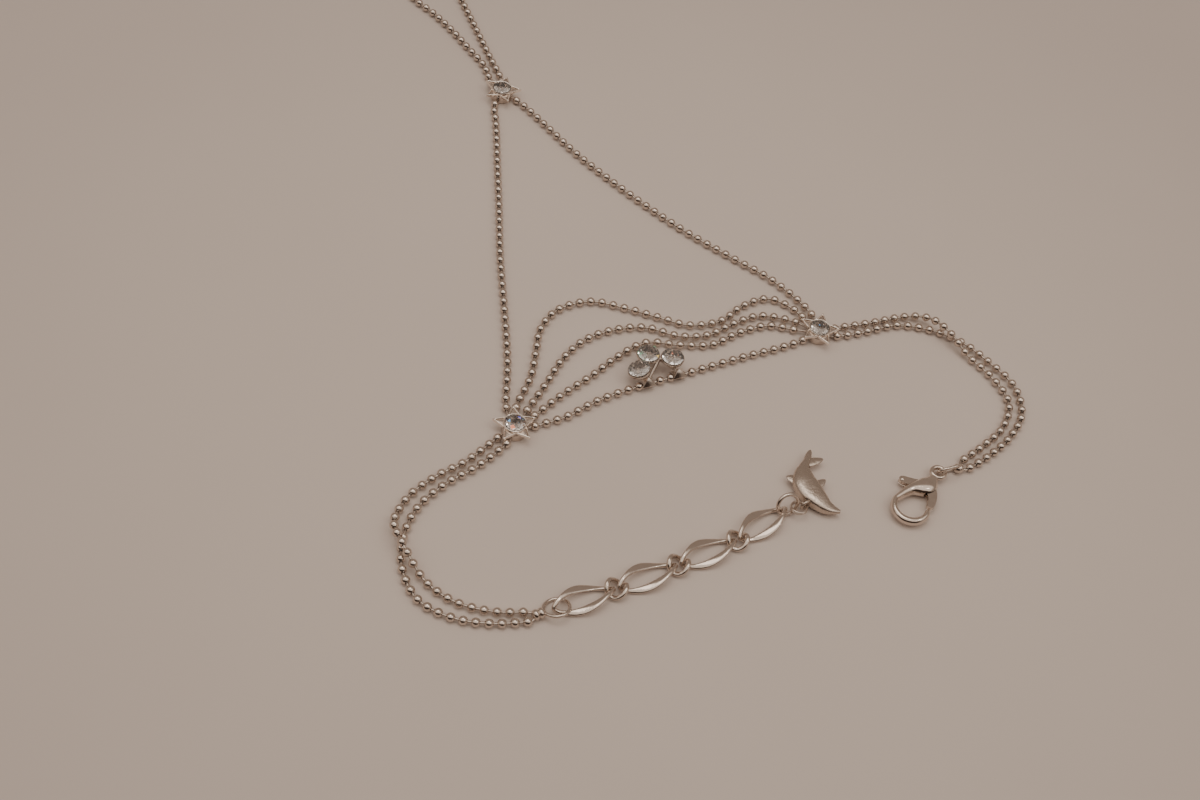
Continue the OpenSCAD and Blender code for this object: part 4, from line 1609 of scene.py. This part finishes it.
@dataclass
class LobsterClasp:
    """The clasp's hook and body in one cast piece, and its sprung lever."""

    place: Point = (45.1, -39.4)
    turn: float = -23.2
    z: float = 1.25
    length: float = 10.0
    thick: float = 2.4
    hook_r: float = 2.85
    hook_w: float = 1.0
    hook_t: float = 1.7
    plump: float = 0.35
    plump_thin: float = 0.4
    hook_start: float = 180.0
    hook_sweep: float = 203.0
    hook_steps: int = 44
    tip_taper: float = 16.0
    body_steps: int = 14
    trunk_sides: int = 36
    trunk_fullness: float = 0.96
    eye: Point = (0.087, 0.94)
    eye_r: float = 1.1
    eye_wire_d: float = 0.8
    eye_high: float = 1.1
    eye_steps: int = 96
    eye_sides: int = 22
    pin: Point = (0.09, 0.54)
    pin_d: float = 0.7
    pin_reach: float = 0.35
    pin_sides: int = 32
    lever_t: float = 0.9
    lever_rounds: int = 3
    corner_cut: float = 0.25
    bore_gap: float = 0.1
    bore_reach: float = 2.0
    bore_sides: int = 40
    knob: Point = (-0.355, 0.415)
    knob_r: float = 0.52
    knob_half_h: float = 0.62
    knob_rows: int = 20
    knob_sides: int = 36
    slot_t: float = 1.2
    room: float = 0.15
    swing: float = 25.0
    swing_room: float = 2.0
    slot_bevel: float = 0.08
    bore_bevel: float = 0.03
    smooth_angle: float = 35.0
    # Place in plan and half width as shares of the length, then half height in millimetres.
    body_rows: tuple[Point, ...] = ((-0.15, 0.33, 0.095, 1.08), (0.04, 0.55, 0.175, 1.2),
                                    (0.08, 0.78, 0.075, 0.84))
    # Corners of the lever's outline, as shares of the length.
    lever: tuple[Point, ...] = (
        (0.175, 0.59), (0.09, 0.62), (-0.03, 0.59), (-0.24, 0.51), (-0.39, 0.47), (-0.41, 0.4),
        (-0.34, 0.36), (-0.16, 0.41), (0.02, 0.46), (0.13, 0.4), (0.19, 0.32), (0.21, 0.22),
        (0.235, 0.16), (0.31, 0.175), (0.315, 0.26), (0.29, 0.39), (0.24, 0.5))

    def set_down(self, points: np.ndarray) -> np.ndarray:
        """Put points of the clasp's own frame where the clasp lies."""
        return turned(points, 0, 0, self.turn) + [*self.place, self.z]

    def spot(self, share: Point) -> np.ndarray:
        """Point of the clasp's own middle plane, from shares of its length."""
        return np.array([*(np.array(share) * self.length), 0.0])

    def eye_in_plan(self) -> np.ndarray:
        """Middle of the eye in plan, in millimetres."""
        return self.set_down(self.spot(self.eye)[None])[0, :2]

    def trunk(self) -> np.ndarray:
        """Rings from the hook's tip round the hook and up the body to the eye.

        Returns:
            The rings.
        """
        tip = self.hook_start + self.hook_sweep
        bow = np.linspace(tip, self.hook_start, self.hook_steps)
        plump = np.sin(np.pi * (tip - bow) / self.hook_sweep) ** 2
        hook = [[*(self.hook_r * heading(a)), self.hook_w / 2 * (1 + self.plump * p),
                 self.hook_t / 2 * (1 - self.plump_thin * self.plump * p)]
                for a, p in zip(bow, plump)]
        taper = np.clip((tip - bow) / self.tip_taper, 0, 1)
        for row, share in zip(hook, taper):
            size = math.sqrt(max(0.02, 1 - (1 - share) ** 2))
            row[2] *= size
            row[3] *= size
        rows = [np.array(row) * [self.length, self.length, self.length, 1.0]
                for row in self.body_rows]
        body = smooth_route(np.array([hook[-1], *rows]), self.body_steps)
        line = np.vstack([np.array(hook), body[1:]])
        path = np.column_stack([line[:, :2], np.zeros(len(line))])
        return swept(path, line[:, 2], line[:, 3], upright(len(line)), self.trunk_sides,
                     power=self.trunk_fullness)

    def lever_corners(self, grow: float, steps: int) -> np.ndarray:
        """The lever's outline, softened and grown.

        Args:
            grow: Distance outwards, in millimetres.
            steps: Rounds of corner cutting.

        Returns:
            Rows of x and y.
        """
        p = np.array(self.lever) * self.length
        near, far = 1 - self.corner_cut, self.corner_cut
        for _ in range(steps):
            ahead = np.roll(p, -1, axis=0)
            p = np.stack([near * p + far * ahead, far * p + near * ahead], axis=1).reshape(-1, 2)
        along = along_edge(p)
        return p + grow * np.stack([-along[:, 1], along[:, 0]], axis=1)

    def slab(self, outline: np.ndarray, levels: list[tuple[float, float]]) -> np.ndarray:
        """Rings of a plate whose edge is rounded.

        Args:
            outline: Rows of x and y.
            levels: Rows of height and inset of the edge.

        Returns:
            The rings.
        """
        along = along_edge(outline)
        inward = np.stack([along[:, 1], -along[:, 0]], axis=1)
        return np.array([np.column_stack([outline + inset * inward,
                                          np.full(len(outline), level)])
                         for level, inset in levels])

    def body(self, finishes: Finishes) -> bpy.types.Object:
        """Make the hook and body with the lever's slot, the pin and the eye.

        Args:
            finishes: The bracelet's finishes.

        Returns:
            The hook, body, pin and eye as one piece.
        """
        trunk = MeshParts()
        trunk.add_rings(self.trunk())
        room = MeshParts()
        pin = self.spot(self.pin)
        outline = self.lever_corners(self.room, 1)
        half = self.slot_t / 2
        plate = self.slab(outline, [(-half, 0.0), (half, 0.0)])
        for swing in (-self.swing - self.swing_room, -self.swing / 2, self.swing_room):
            room.add_rings(turned(plate - pin, 0, 0, swing) + pin)
        cut = carved(trunk, room, self.slot_bevel, finishes.clasp)
        parts = MeshParts()
        parts.add(self.set_down(cut[0]), cut[1])
        h = self.thick * self.pin_reach
        rivet = np.array([[0.02, -h], [self.pin_d / 2, -h], [self.pin_d / 2, h], [0.02, h]])
        parts.add_rings(self.set_down(lathe(rivet, self.pin_sides) + pin), capped=False)
        rings = wire_loop(circle_path(self.eye_r, self.eye_steps), self.eye_wire_d,
                          self.eye_sides, self.eye_high)
        parts.add_rings(self.set_down(rings + self.spot(self.eye)), closed=True)
        body = parts.build("clasp_body", [finishes.clasp], Rides.BRACELET, Slot.SILVER,
                           self.smooth_angle)
        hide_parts("clasp_body")
        return body

    def gate(self, finishes: Finishes) -> bpy.types.Object:
        """Make the lever: gate arm, pivot lug and thumb tab, with its bore.

        Args:
            finishes: The bracelet's finishes.

        Returns:
            The lever.
        """
        plate = MeshParts()
        half = self.lever_t / 2
        outline = self.lever_corners(0.0, self.lever_rounds)
        soft = [(-half, 0.13), (-half + 0.04, 0.05), (-half + 0.13, 0.0), (half - 0.13, 0.0),
                (half - 0.04, 0.05), (half, 0.13)]
        plate.add_rings(self.slab(outline, soft))
        bore = MeshParts()
        hole = self.pin_d / 2 + self.bore_gap
        rod = np.array([[hole, -self.bore_reach], [hole, self.bore_reach]])
        bore.add_rings(lathe(rod, self.bore_sides) + self.spot(self.pin))
        cut = carved(plate, bore, self.bore_bevel, finishes.clasp)
        parts = MeshParts()
        parts.add(self.set_down(cut[0]), cut[1])
        arc = np.radians(np.linspace(3, 177, self.knob_rows))
        knob = np.column_stack([self.knob_r * np.sin(arc), self.knob_half_h * np.cos(arc)])
        parts.add_rings(self.set_down(lathe(knob, self.knob_sides) + self.spot(self.knob)))
        lever = parts.build("clasp_lever", [finishes.clasp], Rides.LEVER, Slot.POLISHED,
                            self.smooth_angle)
        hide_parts("clasp_lever")
        return lever


@dataclass
class Tabletop:
    """The plain pale surface that the bracelet lies on, in metres."""

    size: float = 3.0
    cuts: int = 40
    drop: float = 0.00002
    rim_fall: float = 0.002

    def build(self) -> bpy.types.Object:
        """Make the table top as a fine grid that falls away towards its rim.

        Returns:
            The table top.
        """
        edge = np.linspace(-self.size / 2, self.size / 2, self.cuts + 1)
        points = [(x, y, -self.drop - self.rim_fall * (max(abs(x), abs(y)) / self.size) ** 4)
                  for y in edge for x in edge]
        wide = self.cuts + 1
        faces = [(r * wide + c, r * wide + c + 1, (r + 1) * wide + c + 1, (r + 1) * wide + c)
                 for r in range(self.cuts) for c in range(self.cuts)]
        mesh = bpy.data.meshes.new("table_top")
        mesh.from_pydata(points, [], faces)
        mesh.materials.append(TableFinish("table_taupe").material())
        mesh.shade_smooth()
        top = bpy.data.objects.new("table_top", mesh)
        bpy.context.scene.collection.objects.link(top)
        return top


@dataclass
class StudioLight:
    """A broad soft ceiling light in a taupe room, dark on the camera's side, in metres."""

    bright: Colour = (1.04, 0.92, 0.82)
    dark: Colour = (0.05, 0.034, 0.027)
    wall: Colour = (0.33, 0.265, 0.22)
    lamp: Colour = (1.0, 0.92, 0.84)
    strength: float = 1.0
    aside: tuple[float, float] = (0.74, 0.94)
    panel_place: Point = (-0.08, 0.12, 0.8)
    panel_size: float = 0.45
    panel_power: float = 0.9
    side_place: Point = (0.4, -0.1, 0.6)
    side_size: float = 0.08
    side_share: float = 0.2

    def room(self) -> bpy.types.World:
        """Make the world, banded from the camera's horizon over the top to the far wall.

        Returns:
            The world.
        """
        world = bpy.data.worlds.new("soft_room")
        world.use_nodes = True
        tree = world.node_tree
        back = tree.nodes["Background"]
        back.inputs["Strength"].default_value = self.strength
        place = tree.nodes.new("ShaderNodeTexCoord")
        parts = tree.nodes.new("ShaderNodeSeparateXYZ")
        tree.links.new(place.outputs["Generated"], parts.inputs["Vector"])
        front = tree.nodes.new("ShaderNodeMath")
        front.operation = "MULTIPLY"
        front.inputs[1].default_value = -1.0
        tree.links.new(parts.outputs["Y"], front.inputs[0])
        swing = tree.nodes.new("ShaderNodeMath")
        swing.operation = "ARCTAN2"
        tree.links.new(parts.outputs["Z"], swing.inputs[0])
        tree.links.new(front.outputs["Value"], swing.inputs[1])
        share = tree.nodes.new("ShaderNodeMath")
        share.operation = "DIVIDE"
        share.inputs[1].default_value = math.pi
        tree.links.new(swing.outputs["Value"], share.inputs[0])
        ramp = tree.nodes.new("ShaderNodeValToRGB")
        ramp.color_ramp.interpolation = "EASE"
        stops = [(0.0, self.dark), (0.25, self.dark), (0.31, self.bright),
                 (0.58, self.bright), (0.67, self.wall), (1.0, self.wall)]
        for i, (at, colour) in enumerate(stops):
            stop = ramp.color_ramp.elements[i] if i < 2 else ramp.color_ramp.elements.new(at)
            stop.position = at
            stop.color = (*colour, 1)
        tree.links.new(share.outputs["Value"], ramp.inputs["Fac"])
        aside = tree.nodes.new("ShaderNodeMath")
        aside.operation = "ABSOLUTE"
        tree.links.new(parts.outputs["X"], aside.inputs[0])
        fade = tree.nodes.new("ShaderNodeMapRange")
        fade.interpolation_type = "SMOOTHSTEP"
        fade.inputs["From Min"].default_value, fade.inputs["From Max"].default_value = self.aside
        tree.links.new(aside.outputs["Value"], fade.inputs["Value"])
        blend = tree.nodes.new("ShaderNodeMix")
        blend.data_type = "RGBA"
        blend.inputs["B"].default_value = (*self.wall, 1)
        tree.links.new(fade.outputs["Result"], blend.inputs["Factor"])
        tree.links.new(ramp.outputs["Color"], blend.inputs["A"])
        tree.links.new(blend.outputs["Result"], back.inputs["Color"])
        bpy.context.scene.world = world
        return world

    def softbox(self, name: str, place: Point, size: float, power: float) -> bpy.types.Object:
        """Make an area light that faces the bracelet.

        Args:
            name: Name of the light.
            place: Its middle, in metres.
            size: Its side, in metres.
            power: Its power, in watts.

        Returns:
            The light.
        """
        lamp = bpy.data.lights.new(name, "AREA")
        lamp.size = size
        lamp.energy = power
        lamp.color = self.lamp
        obj = bpy.data.objects.new(name, lamp)
        obj.location = place
        obj.rotation_mode = "QUATERNION"
        obj.rotation_quaternion = (-Vector(place)).to_track_quat("-Z", "Y")
        bpy.context.scene.collection.objects.link(obj)
        return obj

    def build(self) -> None:
        """Set the room and the softboxes."""
        self.room()
        self.softbox("ceiling_panel", self.panel_place, self.panel_size, self.panel_power)
        self.softbox("small_side", self.side_place, self.side_size,
                     self.panel_power * self.side_share)


@dataclass
class PhotoCamera:
    """The camera as the photograph was taken, with its place and target in metres."""

    place: Point = (-0.0085, -0.2006, 0.2121)
    target: Point = (-0.0085, -0.0285, 0.0)
    roll: float = 10.91
    lens: float = 48.3
    sensor: float = 36.0
    clip: tuple[float, float] = (0.01, 20.0)

    def build(self) -> bpy.types.Object:
        """Make the camera and set it as the scene's.

        Returns:
            The camera.
        """
        data = bpy.data.cameras.new("photo_camera")
        data.lens = self.lens
        data.sensor_width = self.sensor
        data.clip_start, data.clip_end = self.clip
        cam = bpy.data.objects.new("photo_camera", data)
        look = (Vector(self.target) - Vector(self.place)).to_track_quat("-Z", "Y").to_matrix()
        turn = look @ Matrix.Rotation(math.radians(self.roll), 3, "Z")
        cam.matrix_world = Matrix.Translation(self.place) @ turn.to_4x4()
        bpy.context.scene.collection.objects.link(cam)
        bpy.context.scene.camera = cam
        return cam


def strands() -> list[BallStrand]:
    """The eleven strands, with the route points of the solids, in millimetres.

    Returns:
        The strands in the order they are built.
    """
    top, left, right = StarPlace.TOP, StarPlace.LEFT, StarPlace.RIGHT
    cap_left, cap_right = (-11.52, -72.63), EndRings.cap_right
    return [
        BallStrand("hand_strand_left", Leave(top, 255, 262),
                   [(-38.5, 34), (-36, 22.5), (-33.5, 11), (-31, -1), (-28, -13), (-25.2, -25)],
                   Leave(left, 122, 119), "hand_thread_left", (1.0, 2.0)),
        BallStrand("hand_strand_right", Leave(top, 344, 338),
                   [(-32, 38.5), (-27.5, 34.5), (-23, 30.5), (-18.5, 27), (-9, 20.5), (1, 14.5),
                    (11.5, 9.5), (17, 7), (22.3, 3.4)],
                   Leave(right, 109, 109), "hand_thread_right", (1.0, 2.0)),
        BallStrand("garland_1", Leave(left, 97, 97),
                   [(-20.8, -27), (-20.9, -21), (-21, -16), (-18.8, -10.8), (-13.5, -7.4),
                    (-7, -7.4), (-1.5, -8), (4.5, -8.5), (10, -6), (13.5, -1.5), (18, 1.5),
                    (22, 0.5)],
                   Leave(right, 134, 134), "garland_thread_1", (2.0, 2.0)),
        BallStrand("garland_2", Leave(left, 72, 72),
                   [(-18, -28), (-16, -21.5), (-13, -16.5), (-8.5, -13), (-3, -11), (3, -11.5),
                    (8, -10), (12.5, -6), (17, -3)],
                   Leave(right, 159, 159), "garland_thread_2", (2.0, 2.0)),
        BallStrand("garland_3", Leave(left, 49, 51),
                   [(-14.5, -29), (-10.5, -24), (-7, -19), (-2.5, -14.5), (3.5, -13.5), (9, -12),
                    (13.5, -8), (18.5, -5)],
                   Leave(right, 184, 184), "garland_thread_3", (2.0, 2.0)),
        BallStrand("garland_4", Leave(left, 18, 24),
                   [(-13.5, -34), (-9, -29.5), (-4.5, -26), (5.5, -19.5), (15.5, -13),
                    (20.5, -10)],
                   Leave(right, 222, 222), "garland_thread_4", (1.0, 1.0)),
        BallStrand("wrist_strand_left_1", Leave(left, 224, 229),
                   [(-28, -47), (-32, -51), (-35.5, -56), (-36.5, -61.5), (-34, -66), (-29, -71),
                    (-24, -73.3), (-18, -73.6), (-13.3, -72.6)],
                   None, leads=(1.0, 0.6), crossing=(-34.5, -65.5), soldered_at=cap_left),
        BallStrand("wrist_strand_left_2", Leave(left, 264, 255),
                   [(-26, -47.6), (-29.9, -51.7), (-33.5, -57.5), (-34.5, -63.5), (-33.5, -69),
                    (-30, -74), (-24.5, -76), (-18.5, -75.8), (-12.3, -74.1)], None,
                   leads=(1.0, 0.6), soldered_at=cap_left),
        BallStrand("wrist_strand_right_1", Leave(right, 36, 32),
                   [(36.6, 0.3), (44, 3.8), (47, 3.5), (50, 1), (54.5, -3), (59, -7), (62, -12),
                    (61, -18), (57.5, -23), (53.5, -27.5)],
                   None, crossing=(50.0, 1.0), soldered_at=cap_right),
        BallStrand("wrist_strand_right_2", Leave(right, -4, 6),
                   [(36, -2), (41.5, 1), (47.5, 1.5), (53.5, 0), (58.5, -3.5), (63, -8),
                    (64.4, -14), (62.5, -19.5), (58.5, -25), (54.5, -29)], None,
                   soldered_at=cap_right),
        BallStrand("finger_loop", Leave(top, 98, 102),
                   [(-43.2, 52.5), (-46.3, 58), (-49.4, 63.5), (-52.5, 69), (-55, 74),
                    (-59.5, 76.3), (-63, 74.5), (-64.4, 70.5), (-62, 66.5), (-57, 62.8),
                    (-52.5, 58.8), (-48, 54.1), (-44, 49.8)],
                   Leave(top, 138, 132)),
    ]


def stars_and_cluster(finishes: Finishes) -> list[bpy.types.Object]:
    """Build the three stars and the cluster with their crystals.

    Args:
        finishes: The bracelet's finishes.

    Returns:
        The settings and crystals in order.
    """
    pieces = []
    girdle = StarSetting.hub_h + StarSetting.collar_h
    # Painted glints on each star's stone: heading in degrees, share of the radius and colour.
    for node, place, sparks in (
            ("star_top", StarPlace.TOP, ()),
            ("star_left", StarPlace.LEFT,
             ((180, 0.6, Spark.SKY), (47, 0.6, Spark.VIOLET), (-106, 0.6, Spark.ORANGE))),
            ("star_right", StarPlace.RIGHT, ((150, 0.12, Spark.SKY),))):
        pieces.append(StarSetting(node, place).build(finishes))
        # Every foil facet of a star's stone takes the darker foil: painted dark reflection.
        pieces.append(BrilliantCrystal(
            node.replace("star", "crystal"), (*place.middle, girdle), 1.65, place.turn - 180,
            sparks=sparks, warm=True, dark_share=1.0).build(finishes))
    cluster = CrystalCluster()
    pieces.append(cluster.build(finishes))
    # Painted glints on the cluster's crystals.
    for node, cup, tilt, sparks in (
            ("cluster_crystal_1", cluster.cup_a, cluster.tilt, ()),
            ("cluster_crystal_2", cluster.cup_b, 0.0,
             ((60, 0.92, Spark.GREEN), (-15, 0.9, Spark.YELLOW))),
            ("cluster_crystal_3", cluster.cup_c, 0.0, ((170, 0.12, Spark.ORANGE),))):
        pieces.append(BrilliantCrystal(node, cup, 1.9, 0.0, tilt, sparks).build(finishes))
    return pieces


def extension_chain(layout: ExtensionLayout, finishes: Finishes) -> list[bpy.types.Object]:
    """Build the extension chain's links, its rings and the charm.

    Args:
        layout: Places of the links and rings.
        finishes: The bracelet's finishes.

    Returns:
        The links, rings and charm in order.
    """
    pieces = []
    for i, (middle, bend) in enumerate(zip(layout.longs, layout.bends), start=1):
        pieces.append(TwistedLink(f"long_link_{i}", tuple(middle), bend, layout.long_l,
                                  width=3.7, pinch=1.25, flat=0.95, z=layout.z).build(finishes))
    for i, middle in enumerate(layout.smalls):
        bend = (layout.bends[i] + layout.bends[i + 1]) / 2
        pieces.append(TwistedLink(f"small_link_{i + 1}", middle, bend, layout.small_d,
                                  width=layout.small_d, pinch=1.0, flat=0.0, z=layout.z,
                                  wire_d=0.78, count=72).build(finishes))
    pieces.append(WireRing("open_ring", (*layout.open_ring, layout.open_z), layout.open_r,
                           layout.open_wire_d, layout.open_lean,
                           layout.open_turn).build(finishes))
    pieces.append(WireRing("charm_ring", (*layout.charm_ring, layout.charm_z), layout.charm_r,
                           layout.charm_wire_d, layout.charm_lean, 0.0, coils=2, seam_at=90.0,
                           seam_gap=24.0).build(finishes))
    pieces.append(DolphinCharm(layout.dolphin_loop).build(finishes))
    return pieces


def main() -> None:
    """Build the bracelet, its table, its light and the camera."""
    logging.basicConfig(level=logging.INFO, format="%(name)s: %(message)s")
    finishes = Finishes()
    pieces: list[bpy.types.Object] = []
    for strand in strands():
        pieces += strand.build(finishes)
    pieces += stars_and_cluster(finishes)
    layout = ExtensionLayout()
    pieces += extension_chain(layout, finishes)
    clasp = LobsterClasp()
    pieces += [clasp.body(finishes), clasp.gate(finishes)]
    ends = EndRings(layout, clasp.eye_in_plan())
    pieces += [ends.left(finishes), ends.right(finishes), Tabletop().build()]
    StudioLight().build()
    PhotoCamera().build()
    for piece in pieces:
        LOG.info("%s: %d faces", piece.name, len(piece.data.polygons))


if __name__ == "__main__":
    main()
